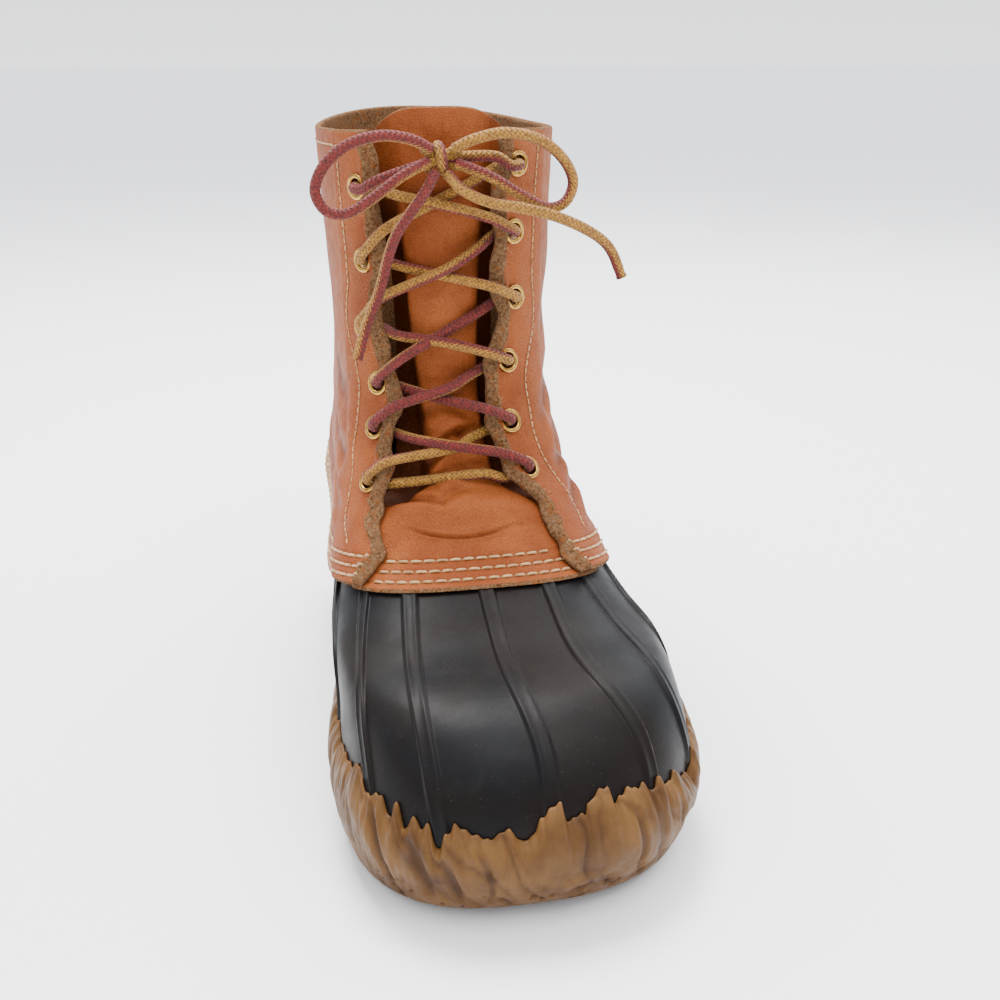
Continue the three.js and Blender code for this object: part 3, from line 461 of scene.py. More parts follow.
# Materials
class Nodes:
    """A material's node tree, with short calls for the nodes that repeat."""

    def __init__(self, name, **shader):
        self.material = bpy.data.materials.new(name)
        self.material.use_nodes = True
        self.tree = self.material.node_tree
        self.shader = self.tree.nodes["Principled BSDF"]
        for key, value in shader.items():
            self.shader.inputs[key.replace("_", " ")].default_value = value
        self.place = self.add("ShaderNodeTexCoord").outputs["Object"]

    def add(self, kind, **settings):
        node = self.tree.nodes.new(kind)
        for key, value in settings.items():
            setattr(node, key, value)
        return node

    def link(self, source, target):
        self.tree.links.new(source, target)

    def feed(self, node, key, value):
        if isinstance(value, bpy.types.NodeSocket):
            self.link(value, node.inputs[key])
        else:
            node.inputs[key].default_value = value

    def mark(self, name):
        return self.add("ShaderNodeAttribute", attribute_name=name).outputs["Fac"]

    def stretched(self, scale):
        node = self.add("ShaderNodeMapping")
        self.link(self.place, node.inputs["Vector"])
        node.inputs["Scale"].default_value = scale
        return node.outputs["Vector"]

    def texture(self, kind, size, place=None, **settings):
        """A texture whose lumps are about that many millimetres across."""
        node = self.add(kind, **settings)
        self.link(place or self.place, node.inputs["Vector"])
        node.inputs["Scale"].default_value = 1 / (size * MM)
        return node

    def cloud(self, size, detail=4, rough=0.55, place=None):
        node = self.texture("ShaderNodeTexNoise", size, place)
        node.inputs["Detail"].default_value = detail
        node.inputs["Roughness"].default_value = rough
        return node.outputs["Fac"]

    def cells(self, size, feature="F1"):
        return self.texture("ShaderNodeTexVoronoi", size, feature=feature).outputs["Distance"]

    def between(self, value, low, high, to_low=0.0, to_high=1.0):
        """A soft step from one value to another as the given value goes from low to high."""
        node = self.add("ShaderNodeMapRange", interpolation_type="SMOOTHSTEP")
        for key, number in zip(("Value", "From Min", "From Max", "To Min", "To Max"),
                               (value, low, high, to_low, to_high)):
            self.feed(node, key, number)
        return node.outputs["Result"]

    def math(self, operation, a, b=0.0):
        node = self.add("ShaderNodeMath", operation=operation)
        self.feed(node, 0, a)
        self.feed(node, 1, b)
        return node.outputs[0]

    def mix(self, share, a, b):
        node = self.add("ShaderNodeMix", data_type="RGBA")
        self.feed(node, 0, share)
        self.feed(node, 6, a)
        self.feed(node, 7, b)
        return node.outputs[2]

    def patches(self, color, over, cloud, low, high, most=1.0):
        """A colour with patches of another over it, where a cloud of noise is high."""
        return self.mix(self.between(self.cloud(*cloud), low, high, 0, most), color, over)

    def bump(self, height, depth, strength=1.0, under=None):
        node = self.add("ShaderNodeBump")
        node.inputs["Distance"].default_value = depth * MM
        node.inputs["Strength"].default_value = strength
        self.link(height, node.inputs["Height"])
        if under is not None:
            self.link(under, node.inputs["Normal"])
        return node.outputs["Normal"]

    def finish(self, color=None, rough=None, normal=None):
        for key, socket in (("Base Color", color), ("Roughness", rough), ("Normal", normal)):
            if socket is not None:
                self.link(socket, self.shader.inputs[key])
        return self.material


def rgb(red, green, blue):
    """A colour given as on a screen, from 0 to 255, in the renderer's linear light."""
    return tuple((c / 255) ** 2.2 for c in (red, green, blue)) + (1.0,)


def dark_rubber():
    n = Nodes("dark_rubber", Specular_IOR_Level=0.1)
    tint = n.patches(rgb(19, 19, 21), rgb(25, 20, 18), (45, 3), 0.4, 0.62)
    tint = n.patches(tint, rgb(36, 35, 35), (9, 6, 0.65), 0.55, 0.8, 0.3)
    specks = n.between(n.cells(1.4), 0.12, 0.05)
    scarce = n.between(n.cloud(7, 4), 0.48, 0.62)
    tint = n.mix(n.math("MULTIPLY", n.math("MULTIPLY", specks, scarce), 0.7), tint, rgb(84, 79, 73))
    mottled = n.between(n.cloud(14, 5, 0.6), 0.3, 0.75, 0.34, 0.46)
    rough = n.math("ADD", mottled, n.math("MULTIPLY", n.cloud(0.7, 3), 0.1))
    fine = n.bump(n.cloud(0.6, 4, 0.65), 0.08, 0.5)
    return n.finish(tint, rough, n.bump(n.cloud(9, 4), 0.35, 0.45, fine))


def gum_rubber():
    n = Nodes("gum_rubber", Specular_IOR_Level=0.16)
    tint = n.patches(rgb(98, 69, 38), rgb(78, 53, 28), (16, 4), 0.35, 0.7)
    # Painted shade: darker brown where the rand is folded in, creased or pitted
    tint = n.mix(n.math("MULTIPLY", n.mark("painted_shade"), 0.8), tint, rgb(50, 30, 15))
    tint = n.patches(tint, rgb(80, 50, 28), (2.2, 5, 0.7), 0.6, 0.78, 0.4)
    dirt = n.math("MULTIPLY", n.mark("low"), n.between(n.cloud(7, 6, 0.7), 0.42, 0.7))
    tint = n.mix(n.math("MULTIPLY", dirt, 0.6), tint, rgb(50, 38, 28))
    rough = n.between(n.cloud(6, 4), 0.3, 0.7, 0.42, 0.6)
    fine = n.bump(n.cloud(0.9, 5, 0.65, n.stretched((1, 1, 0.45))), 0.16, 0.5)
    return n.finish(tint, rough, n.bump(n.cloud(4.5, 4), 0.5, 0.5, fine))


def leather():
    n = Nodes("tan_leather", Specular_IOR_Level=0.09)
    tint = n.patches(rgb(142, 78, 42), rgb(123, 63, 33), (38, 4, 0.6), 0.35, 0.65)
    tint = n.patches(tint, rgb(98, 46, 16), (8, 6, 0.68), 0.5, 0.75, 0.4)
    # Painted shade: darker brown in the leather's creases and sunk stitch rows, and in the deep gaps beside
    # the tongue
    tint = n.mix(n.math("MULTIPLY", n.mark("painted_shade"), 0.8), tint, rgb(42, 19, 8))
    grain = n.cells(1.2, "DISTANCE_TO_EDGE")
    tint = n.mix(n.between(grain, 0.14, 0.0, 0, 0.3), tint, rgb(70, 30, 10))
    tint = n.patches(tint, rgb(62, 28, 12), (1.6, 3, 0.7, n.stretched((1, 1, 0.3))), 0.66, 0.75, 0.35)
    suede = n.patches(rgb(124, 93, 66), rgb(54, 34, 20), (1.1, 6, 0.75), 0.36, 0.72)
    suede = n.patches(suede, rgb(124, 66, 28), (2.4, 3), 0.52, 0.68, 0.6)
    raw = n.between(n.mark("raw"), 0.35, 0.65)
    tint = n.mix(raw, tint, suede)
    rough = n.math("ADD", n.between(n.cloud(5, 5), 0.3, 0.7, 0.48, 0.62), n.math("MULTIPLY", raw, 0.4))
    skin = n.bump(n.cloud(2.6, 6, 0.7), 0.3, 0.4, n.bump(grain, 0.6, 0.8))
    nap = n.bump(n.cloud(0.6, 4, 0.75), 0.6, 1.0)
    return n.finish(tint, rough, n.mix(raw, skin, nap))


def thread():
    n = Nodes("thread")
    tint = n.patches(rgb(184, 147, 103), rgb(142, 104, 66), (3, 3), 0.35, 0.7)
    return n.finish(tint, None, n.bump(n.cloud(0.35, 2, 0.5, n.stretched((1, 1.4, 0.5))), 0.12, 0.8))


def braid():
    """A round braid: strands wind both ways over and under each other, one side yellow and one maroon."""
    n = Nodes("lace_braid", Roughness=0.85, Sheen_Weight=0.05)
    uv = n.add("ShaderNodeSeparateXYZ")
    n.link(n.add("ShaderNodeTexCoord").outputs["UV"], uv.inputs[0])
    along, around = uv.outputs[0], uv.outputs[1]
    bands = 7.0
    left = n.math("MULTIPLY", n.math("ADD", along, around), bands)
    right = n.math("MULTIPLY", n.math("SUBTRACT", along, around), bands)
    crowns = [n.math("SINE", n.math("MULTIPLY", n.math("FRACT", wind), pi)) for wind in (left, right)]
    crossing = n.math("ADD", n.math("FLOOR", left), n.math("FLOOR", right))
    crown = n.mix(n.math("MODULO", n.math("ABSOLUTE", crossing), 2.0), *crowns)
    twist = n.math("ADD", around, n.math("MULTIPLY", along, 0.045))
    tooth = n.math("MULTIPLY", n.math("FRACT", left), 0.12)
    side = n.math("FRACT", n.math("ADD", twist, tooth))
    is_maroon = n.math("MULTIPLY", n.between(side, 0.42, 0.46), n.between(side, 0.97, 0.93))
    yellow = n.patches(rgb(176, 124, 40), rgb(112, 72, 22), (1.2, 4, 0.7), 0.3, 0.7)
    maroon = n.patches(rgb(124, 34, 24), rgb(70, 18, 13), (1.2, 4, 0.7), 0.3, 0.7)
    tint = n.mix(is_maroon, yellow, maroon)
    # Painted shade where the strands dip in between their crowns
    tint = n.mix(n.between(crown, 0.55, 0.0, 0, 0.8), tint, rgb(24, 14, 10))
    fine = n.bump(n.cloud(0.25, 2), 0.1, 0.7)
    return n.finish(tint, None, n.bump(crown, 0.4, 1.0, fine))


def brass():
    n = Nodes("brass", Metallic=1.0)
    tint = n.patches(rgb(176, 136, 66), rgb(120, 84, 36), (2.5, 4), 0.45, 0.75)
    rough = n.between(n.cloud(1.6, 4), 0.3, 0.7, 0.16, 0.34)
    return n.finish(tint, rough, n.bump(n.cloud(1.2, 3), 0.05, 0.3))


def felt():
    n = Nodes("insole_felt", Roughness=0.95, Sheen_Weight=0.2)
    tint = n.patches(rgb(66, 54, 42), rgb(42, 32, 24), (6, 5, 0.7), 0.35, 0.7)
    return n.finish(tint, None, n.bump(n.cloud(0.5, 4, 0.7), 0.4, 0.8))


def floor_paint():
    n = Nodes("floor", Roughness=0.6)
    n.shader.inputs["Base Color"].default_value = rgb(242, 243, 245)
    return n.material


RUBBER, GUM, TAN, THREAD = dark_rubber(), gum_rubber(), leather(), thread()
BRAID, BRASS, FELT = braid(), brass(), felt()


# Rubber lower
RIB_HEIGHT, RIB_HALF, RIB_FLANK = 1.15, 2.6, 0.9
RIB_STOPS = {"rand": 1.1, "toe_box": 2.3, "vamp": 3.6, "edge": LEATHER_EDGE}


def rib_place(level):
    """The turn of each rib at a level."""
    stops = np.array(list(RIB_STOPS.values()))
    level = np.clip(level, stops[0], stops[-1])
    rows = zip(*(RIBS[name] for name in RIB_STOPS))
    return [curve({"level": stops, "turn": np.array(row)}, "level", level, "turn") for row in rows]


def rib_relief(level, turn):
    """Raised bands with a soft crown, and a shallow groove along each side."""
    relief = np.zeros(np.broadcast(level, turn).shape)
    for place in rib_place(level):
        away = (np.asarray(turn) - place + 1) % 2 - 1
        gap = np.abs(away) * np.where((turn % 2) <= 1, girth_at(level, 1), girth_at(level, -1))
        band = 1 - smooth(gap, RIB_HALF - RIB_FLANK / 2, RIB_HALF + RIB_FLANK)
        dip = 0.22 * (1 - smooth(gap, 0.4, RIB_HALF - 0.5))
        groove = 0.38 * np.exp(-(((gap - RIB_HALF - 1.5) / 0.75) ** 2))
        relief = np.maximum(relief, RIB_HEIGHT * band * (1 - dip)) - groove * (gap < 9)
    return relief * smooth(level, 0.7, 1.2) * (1 - smooth(level, 5.2, 5.7))


def rubber_out(level, turn):
    """How far the rubber's outer face stands from the last: its ribs, over soft swells."""
    flat = on_last(level, turn, 0)
    swell = 0.35 * noise(flat, 34, 3) + 0.12 * noise(flat, 11, 4)
    return rib_relief(level, turn) + swell * smooth(level, 1.4, 2.2) * (1 - smooth(level, 4.3, 4.7))


def rubber_lower():
    front = np.linspace(-0.36, 0.36, 500)
    rest = np.linspace(0.36, 1.64, 232)[1:-1]
    turns = np.concatenate([front, rest])
    levels = np.concatenate([
        np.linspace(0, 1.0, 6)[:-1], np.linspace(1.0, 4.9, 100), np.linspace(4.9, RUBBER_TOP, 8)[1:],
    ])
    level, turn = np.meshgrid(levels, turns, indexing="ij")
    outer = on_last(level, turn, rubber_out(level, turn))
    inner_levels = np.linspace(0, RUBBER_TOP, 14)
    inner = on_last(*np.meshgrid(inner_levels, turns, indexing="ij"), -RUBBER_WALL)
    points = np.concatenate([outer.reshape(-1, 3), inner.reshape(-1, 3)])
    faces = wall_faces(len(levels), len(turns), True, len(inner_levels))
    make_mesh("rubber_lower_detail", points, faces, RUBBER, "dark_rubber", ["rubber_lower"])


rubber_lower()


# Outsole with its rand
LIP = columns(
    "distance level",
    [
        (-100, 1.3), (-78, 1.45), (-65, 1.62), (-58.9, 1.35), (-54.4, 1.5), (-49.3, 1.25),
        (-45.6, 1.45), (-42.8, 1.17), (-38.7, 1.38), (-36.1, 1.23), (-34.3, 1.33), (-31.7, 1.03),
        (-28.2, 1.23), (-25.2, 1.38), (-15.9, 1.17), (-13.2, 1.28), (-8.8, 1.28), (-4.4, 1.11),
        (0.9, 1.38), (4, 1.58), (7.6, 1.57), (8.7, 1.38), (14.9, 1.36), (16.4, 1.56), (20, 1.65),
        (23.8, 1.64), (25.1, 1.45), (28, 1.54), (35, 1.55), (41.3, 1.43), (43.8, 1.5), (47.1, 1.3),
        (54, 1.37), (62.5, 1.12), (67, 0.9), (78, 1.35), (100, 1.3),
    ],
)


def lobed(at, places, heights):
    """Heights between places, with each peak and each dip rounded."""
    k = np.clip(np.searchsorted(places, at) - 1, 0, len(places) - 2)
    share = smooth((at - places[k]) / (places[k + 1] - places[k]), 0.1, 0.9)
    return heights[k] + (heights[k + 1] - heights[k]) * share


def lip_level(turn):
    """Height of the rand's torn upper edge round the boot."""
    distance = distance_at(1.3, turn)
    front = lobed(distance, LIP["distance"], LIP["level"])
    angle = (np.asarray(turn) % 2) * pi
    side = RAND_LEVEL + 0.1 * np.sin(23 * angle + 0.6) + 0.07 * np.sin(41 * angle + 1.9)
    blend = smooth(np.abs(distance), 78, 100)
    teeth = 0.04 * np.sin(distance / 1.1 + 2 * np.sin(distance / 7)) + 0.02 * np.sin(distance / 0.53)
    return front * (1 - blend) + side * blend + teeth


SIDE = columns(
    "step level out lift",
    [
        (0, 0, 0.0, 0), (0.08, 0, 0.38, 0.08), (0.18, 0, 0.7, 0.34), (0.34, 0.08, 0.98, 0.86),
        (0.5, 0.4, 1.05, 1), (0.66, 0.66, 0.98, 1), (0.82, 0.9, 0.68, 1), (1, 1.1, 0.2, 1),
    ],
)
HEEL_SHARE, HEEL_EDGE, ARCH_END, SPRING_START = 0.28, 0.03, 0.46, 0.84
ARCH_RISE, TOE_SPRING = 4.5, 6.0


def underside(y):
    along = 0.5 - np.asarray(y) / BOOT_LENGTH
    breast = smooth(along, HEEL_SHARE, HEEL_SHARE + HEEL_EDGE)
    forefoot = 1 - smooth(along, HEEL_SHARE + 2 * HEEL_EDGE, ARCH_END)
    spring = np.clip((along - SPRING_START) / (1 - SPRING_START), 0, 1)
    return ARCH_RISE * breast * forefoot + TOE_SPRING * spring**2


# Cracks and pits in the front of the rand, and one raised fold, which has a negative depth
RAND_MARKS = columns(
    "level distance to_level to_distance width depth",
    [
        (0.88, -19.5, 0.36, -15, 1.2, 1), (0.4, -13, 0.14, -8.5, 1, 1), (0.16, 10.5, 0.2, 16, 1.5, 2),
        (0.4, 21.5, 0.27, 24.5, 0.8, 1), (0.27, 24.5, 0.33, 28, 0.8, 0.9), (0.27, 35.5, 0.34, 38.5, 1.3, 1.5),
        (0.43, 7, 0.48, 20, 1.5, -0.9), (0.9, -34, 0.3, -24, 1.3, 1.0), (0.95, -45, 0.3, -32, 1.4, 1.1),
        (0.9, -58, 0.3, -46, 1.4, 1.1), (0.9, 31, 0.45, 33, 1.0, 0.7), (0.85, 52, 0.3, 49, 1.2, 0.9),
    ],
)
MM_PER_STEP = 28.0


def rand_relief(points, turn, step):
    """Folds and wrinkles that lean along the rand, a few pits, and how much painted shade darkens each place.
    """
    distance = distance_at(1.0, turn)
    marks = crease_relief(RAND_MARKS, step, distance, MM_PER_STEP)
    warp = 5 * noise(points, 19, 16)
    lean = np.stack([distance + 14 * step + warp, 15 * step + warp, 0 * step], axis=-1)
    fold = np.minimum(np.abs(noise(lean, 9, 11)) * 2.6, 1)
    crumple = np.minimum(np.abs(noise(lean * [1, 0.6, 1], 4.2, 17)) * 2.6, 1)
    patch = smooth(noise(points, 15, 13), 0.05, 0.4)
    ridges = np.sin(distance / 0.42 + 3 * noise(points, 11, 12) + 7 * step) * patch
    pits = smooth(noise(points * [1, 1, 1.8], 3.1, 14), 0.55, 0.75) * smooth(step, 0.6, 0.2)
    fan_place = np.exp(-(((distance + 9.5) / 4) ** 2)) * smooth(step, 0.5, 0.7)
    fan = 0.2 * np.sin(distance / 0.26 + 4 * step) * fan_place
    calm = smooth(step, 0.1, 0.4)
    relief = 0.8 * (fold - 0.6) * (0.35 + 0.65 * calm) + 0.35 * (crumple - 0.6) + 0.12 * ridges * calm
    relief += fan - 1.1 * pits + 0.6 * noise(points, 24, 15) + 0.35 * noise(points, 8, 18) + marks
    # Painted shade: how far each fold trough, crumple, pit and crack is darkened in the rubber's colour
    painted_shade = (0.7 * (1 - fold) ** 3 + 0.4 * (1 - crumple) ** 3) * calm + pits + np.maximum(-marks, 0) * 0.8
    return relief, np.clip(painted_shade, 0, 1)


def sole_rings(turns):
    """The sole's outer side from the floor up to the lip, with its relief."""
    steps = np.concatenate([np.linspace(0, 0.9, 36), np.linspace(0.9, 1, 6)[1:]])
    step, turn = np.meshgrid(steps, turns, indexing="ij")
    level = curve(SIDE, "step", step, "level")
    out = RAND_BULGE * curve(SIDE, "step", step, "out")
    lift = np.clip(curve(SIDE, "step", step, "lift"), 0, 1)
    lip = lip_level(turn)
    level = level * np.where(step > 0.5, 1 + (lip / 1.1 - 1) * smooth(step, 0.5, 1), 1)
    base = on_last(level, turn, out)
    floor = underside(base[..., 1])
    base[..., 2] = floor + (base[..., 2] - floor) * lift
    relief, painted_shade = rand_relief(base, turn, step)
    relief = relief * smooth(step, 0.03, 0.34) * (1 - 0.8 * smooth(step, 0.75, 1))
    proud = rubber_out(level, turn) * smooth(step, 0.7, 1)
    normal = look_up(NORMAL, level, turn)
    base = base + normal * relief[..., None] * [1, 1, 0.4] + normal * proud[..., None]
    base[..., 2] = np.maximum(base[..., 2], underside(base[..., 1]))
    return base, painted_shade


def bridged(points, ring, across):
    """Faces and new points that fill a ring from side to side, with its lowest index first."""
    count = len(ring)
    half = count // 2
    rows, extra = [], []
    for i in range(half + 1):
        a, b = ring[i], ring[(count - i) % count]
        row = [a]
        if 0 < i < half:
            for j in range(1, across):
                row.append(len(points) + len(extra))
                extra.append(points[a] + (points[b] - points[a]) * j / across)
            row.append(b)
        rows.append(row)
    faces = []
    for low, high in zip(rows[:-1], rows[1:]):
        for j in range(across):
            a, b = low[min(j, len(low) - 1)], low[min(j + 1, len(low) - 1)]
            d, c = high[min(j, len(high) - 1)], high[min(j + 1, len(high) - 1)]
            face = [v for k, v in enumerate((a, b, c, d)) if v not in (a, b, c, d)[:k]]
            if len(face) > 2:
                faces.append(face)
    return np.array(extra), faces


def outsole():
    half = np.concatenate([np.linspace(0, 0.36, 340), np.linspace(0.36, 1, 190)[1:]])
    turns = np.concatenate([half, 2 - half[-2:0:-1]])
    count = len(turns)
    side, painted_shade = sole_rings(turns)
    lip = lip_level(turns)
    proud = rubber_out(lip, turns)
    rims = [
        on_last(lip + 0.012, turns, proud + 0.55),
        on_last(lip + 0.004, turns, proud + 0.1),
        on_last(np.full(count, 1.0), turns, 0.5),
        on_last(np.full(count, 0.5), turns, 0.5),
        on_last(np.zeros(count), turns, 0.5),
    ]
    well = rims[-1].copy()
    well[:, 2] = SOLE_THICKNESS
    rings = np.concatenate([side, np.array(rims + [well])])
    rows = len(rings)
    points = rings.reshape(-1, 3)
    faces = grid_faces(0, rows, count, True).tolist()
    under, under_faces = bridged(points, list(range(count)), 36)
    under[:, 2] = underside(under[:, 1]) + tread(under)
    points = np.concatenate([points, under])
    faces += under_faces
    floor, floor_faces = bridged(points, [(rows - 1) * count + i for i in range(count)], 4)
    points = np.concatenate([points, floor])
    faces += [face[::-1] for face in floor_faces]
    marks = np.zeros(len(points))
    marks[:painted_shade.size] = painted_shade.ravel()
    low = np.clip(1 - points[:, 2] / 16, 0, 1)
    make_mesh("outsole_detail", points, faces, GUM, "gum_rubber", ["outsole"], {"painted_shade": marks, "low": low})


# Grooves under the heel and the forefoot, between shares of the length from the heel
GROOVES = [{"start": 0.07, "end": 0.22, "count": 4}, {"start": 0.53, "end": 0.88, "count": 8}]
GROOVE_DEPTH, GROOVE_HALF = 2.0, 2.0


def tread(points):
    """Grooves across the heel and the forefoot, with a slight wave, that leave lugs between them."""
    depth = np.zeros(len(points))
    wavy = points[:, 1] + 1.6 * np.sin(points[:, 0] / 4.0)
    half = np.interp(0.5 - points[:, 1] / BOOT_LENGTH, [0.05, 0.25, 0.5, 0.75, 0.93], [26, 30, 38, 50, 34])
    inside = 1 - smooth(np.abs(points[:, 0] - 3), half - 2, half)
    for group in GROOVES:
        for along in np.linspace(group["start"], group["end"], group["count"]):
            away = np.abs(wavy - BOOT_LENGTH * (0.5 - along))
            depth = np.maximum(depth, 1 - smooth(away, GROOVE_HALF - 0.8, GROOVE_HALF + 0.8))
    return GROOVE_DEPTH * depth * inside


outsole()


# Leather
def rise_grid():
    """Length up the skin above the leather's lower edge, on the same grid as the skin."""
    steps = np.linalg.norm(np.diff(SKIN, axis=0), axis=2)
    rise = np.concatenate([np.zeros((1, steps.shape[1])), np.cumsum(steps, axis=0)])
    return (rise - rise[int(round(LEATHER_EDGE * LEVELS_PER_ROW))])[..., None]


RISE = rise_grid()


def rise_at(level, turn):
    return look_up(RISE, *np.broadcast_arrays(level, turn))[..., 0]


def level_up(turn, rise):
    """The level that lies a length above the leather's lower edge."""
    levels = np.linspace(LEATHER_EDGE, COLLAR, 320)
    return np.array([np.interp(rise, rise_at(levels, t), levels) for t in np.atleast_1d(turn)])


def throat_edge(level, side):
    return SHAFT_WIDTH * curve(THROAT, "level", level, "medial" if side < 0 else "lateral")


def quarter_inner(level, distance):
    """How far out of the last the quarters' inner face lies: over the tongue in front, close behind it."""
    narrowing = smooth(level, 5.9, 7.5)
    reach = SHAFT_WIDTH * (0.77 - 0.25 * narrowing)
    off = smooth(distance, reach, reach + 0.08 * SHAFT_WIDTH)
    return QUARTER_OVER_TONGUE + (QUARTER_OVER_RUBBER - QUARTER_OVER_TONGUE) * off


# Soft creases in the leather, from one place to another: level and distance from the front's middle
QUARTER_CREASES = columns(
    "level distance to_level to_distance width depth",
    [
        (5.9, 50, 6.9, 74, 4.5, 1.1), (6.7, 46, 7.5, 78, 5, 1.3), (7.5, 40, 7.9, 80, 5.5, 1.2),
        (6.2, -56, 7.0, -78, 4.5, 1.1), (7.0, -48, 7.6, -80, 5, 1.3), (7.9, -44, 8.3, -78, 6, 1.0),
        (8.6, 46, 8.9, 86, 7, 0.9), (6.4, 96, 6.9, 150, 7, 1.1), (7.1, 104, 7.4, 160, 7, 1.0),
        (6.5, -96, 7.0, -150, 7, 1.1), (7.3, -108, 7.6, -160, 7, 1.0), (5.6, 60, 5.9, 96, 5, 0.7),
        (5.6, -62, 5.9, -94, 5, 0.7),
    ],
)
TONGUE_CREASES = columns(
    "level distance to_level to_distance width depth",
    [
        (5.84, 19, 5.86, -21, 0.75, 1.1), (5.62, 12, 5.8, 24, 1.0, 0.4), (6.42, -28, 6.28, -6, 2.2, 2.4),
        (6.26, -8, 6.62, 5, 2.2, 1.8), (6.75, -12, 6.95, 18, 2.2, 1.7), (6.98, -11, 7.55, 13, 1.8, 3.0),
        (7.35, 16, 7.5, 2, 1.8, 1.5), (7.72, -12, 7.8, 12, 2.6, 1.9), (8.3, 14, 8.24, -11, 1.6, 0.8),
        (8.42, 12, 8.4, -8, 1.0, 0.5), (8.95, -13, 9.05, 14, 3.0, 0.8), (5.75, -26, 6.1, -18, 1.6, 0.5),
    ],
)
ROW_RISES = (4.2, 9.3, 14.4)


def row_relief(rise):
    """The leather is drawn in a little along each row of stitches round the lower edge."""
    return -sum(0.4 * np.exp(-(((rise - row) / 1.1) ** 2)) for row in ROW_RISES)


SEAM_FROM_EDGE = 19.0
# The throat's thick cut edge: its raw face slopes up from the opening to a crest this far away
RAW_WIDTH = 4.3
# How rough the inner face of the leather is: 1 is a raw cut
LINING = 0.75


def quarter_thickness(from_edge, level):
    swell = 0.35 * np.sin(level * 9.0) + 0.25 * np.sin(level * 21 + 1)
    crest = RAW_WIDTH + 0.5 * swell
    bead = smooth(from_edge, -0.4, crest - 0.3) * (1 - smooth(from_edge, crest, crest + 1.5))
    return LEATHER_WALL - 0.3 + (2.3 + 0.5 * swell) * bead + 0.3 * smooth(from_edge, crest, crest + 2)


def quarter_out(level, distance, side):
    """The quarters' outer face, out of the last, with its relief."""
    edge = throat_edge(level, side)
    from_edge = np.abs(distance) - edge
    inner = quarter_inner(level, np.abs(distance))
    turn = turn_at(level, distance)
    rise = rise_at(level, turn)
    flat = on_last(level, turn, 0)
    relief = crease_relief(QUARTER_CREASES, level, distance) * smooth(from_edge, 3, 14)
    relief += row_relief(rise) + 0.5 * noise(flat, 26, 21) * smooth(from_edge, 4, 12) * smooth(rise, 3, 18)
    relief += 0.12 * noise(flat, 6.5, 22)
    relief -= 0.3 * np.exp(-(((from_edge - SEAM_FROM_EDGE) / 1.2) ** 2)) * smooth(level, 5.3, 5.6)
    return inner + quarter_thickness(from_edge, level) + relief, relief


NEAR_EDGE = np.array([0, 0.12, 0.35, 0.7, 1.15, 1.7, 2.3, 2.9, 3.5, 4.0, 4.4, 4.8, 5.3, 6.0, 7.3, 9.2])
REST_COLUMNS = 92


def quarter_spots(levels, side):
    """Distances from the throat's edge round to the middle of the back, for each level."""
    edge, back = throat_edge(levels, side)[:, None], girth_at(levels, side)[:, None]
    share = np.linspace(0, 1, REST_COLUMNS + 1)[1:] ** 1.15
    start = edge + NEAR_EDGE[-1]
    return np.concatenate([edge + NEAR_EDGE, start + (back - start) * share], axis=1)


def edge_wave(levels, side):
    """The throat's cut edge waves a little, as it was cut and worn by hand."""
    return 1.1 * np.sin(levels * 7.1 + side) + 0.3 * np.sin(levels * 15.3 + 2 * side)


def leather_wall(node, level, turn, outer_out, inner_out, raw, painted_shade, inner_raw=LINING):
    """A leather piece between two distances out from the last."""
    points = [on_last(level, turn, out).reshape(-1, 3) for out in (outer_out, inner_out)]
    marks = {"raw": np.concatenate([raw.ravel(), np.full(raw.size, inner_raw)]),
             "painted_shade": np.concatenate([painted_shade.ravel(), np.zeros(raw.size)])}
    return make_mesh(node + "_detail", np.concatenate(points), wall_faces(*turn.shape, False),
                     TAN, "tan_leather", [node], marks)


def quarters():
    levels = np.concatenate([
        LEATHER_EDGE + np.array([0, 0.006, 0.02, 0.045, 0.08]),
        np.linspace(4.87, 6.4, 56), np.linspace(6.4, COLLAR - 0.1, 92)[1:],
        COLLAR - np.array([0.07, 0.04, 0.02, 0.006, 0]),
    ])
    parts = {}
    for side in (1, -1):
        spots = quarter_spots(levels, side)
        level = np.broadcast_to(levels[:, None], spots.shape)
        from_edge = spots - spots[:, :1]
        distance = side * (spots + (edge_wave(level, side) * (1 - smooth(from_edge, 4, 14))))
        out, relief = quarter_out(level, distance, side)
        inner = quarter_inner(level, np.abs(distance))
        bottom = rise_at(level, turn_at(level, distance))
        top = np.maximum((COLLAR - level) * TOP_STEP, 0)
        ends = rounding(np.minimum(bottom, top) + 0.02, 1.1)
        lips = rounding(from_edge + 0.02, 0.9)
        half = (out - inner) / 2 * np.minimum(ends, lips)
        middle = (out + inner) / 2
        crest = RAW_WIDTH + 0.2 * np.sin(level * 9.0) + 0.15 * np.sin(level * 21 + 1)
        raw = np.maximum(1 - smooth(from_edge, crest - 0.1, crest + 0.5),
                         1 - smooth(np.minimum(bottom, top), 0.35, 0.75))
        # Painted shade, deepest where creases, stitch rows and the seam sink the leather in
        painted_shade = np.clip(-relief * 0.55, 0, 1)
        parts[side] = [middle + half, middle - half, turn_at(level, distance), raw, painted_shade]
    joined = [np.concatenate([parts[1][k], parts[-1][k][:, -2::-1]], axis=1) for k in range(5)]
    outer_out, inner_out, turn, raw, painted_shade = joined
    level = np.broadcast_to(levels[:, None], turn.shape)
    return leather_wall("quarters", level, turn, outer_out, inner_out, raw, painted_shade)


def eyelet_seat(side, row):
    level = EYELET_LEVELS[side][row]
    distance = throat_edge(level, side) + EYELET_INSET
    turn = turn_at(level, side * distance)
    out = quarter_inner(level, distance) + LEATHER_WALL + CLEARANCE
    normal = on_last(level, turn, 1) - on_last(level, turn, 0)
    return {"level": level, "distance": distance, "out": out,
            "point": on_last(level, turn, out), "normal": normal / np.linalg.norm(normal)}


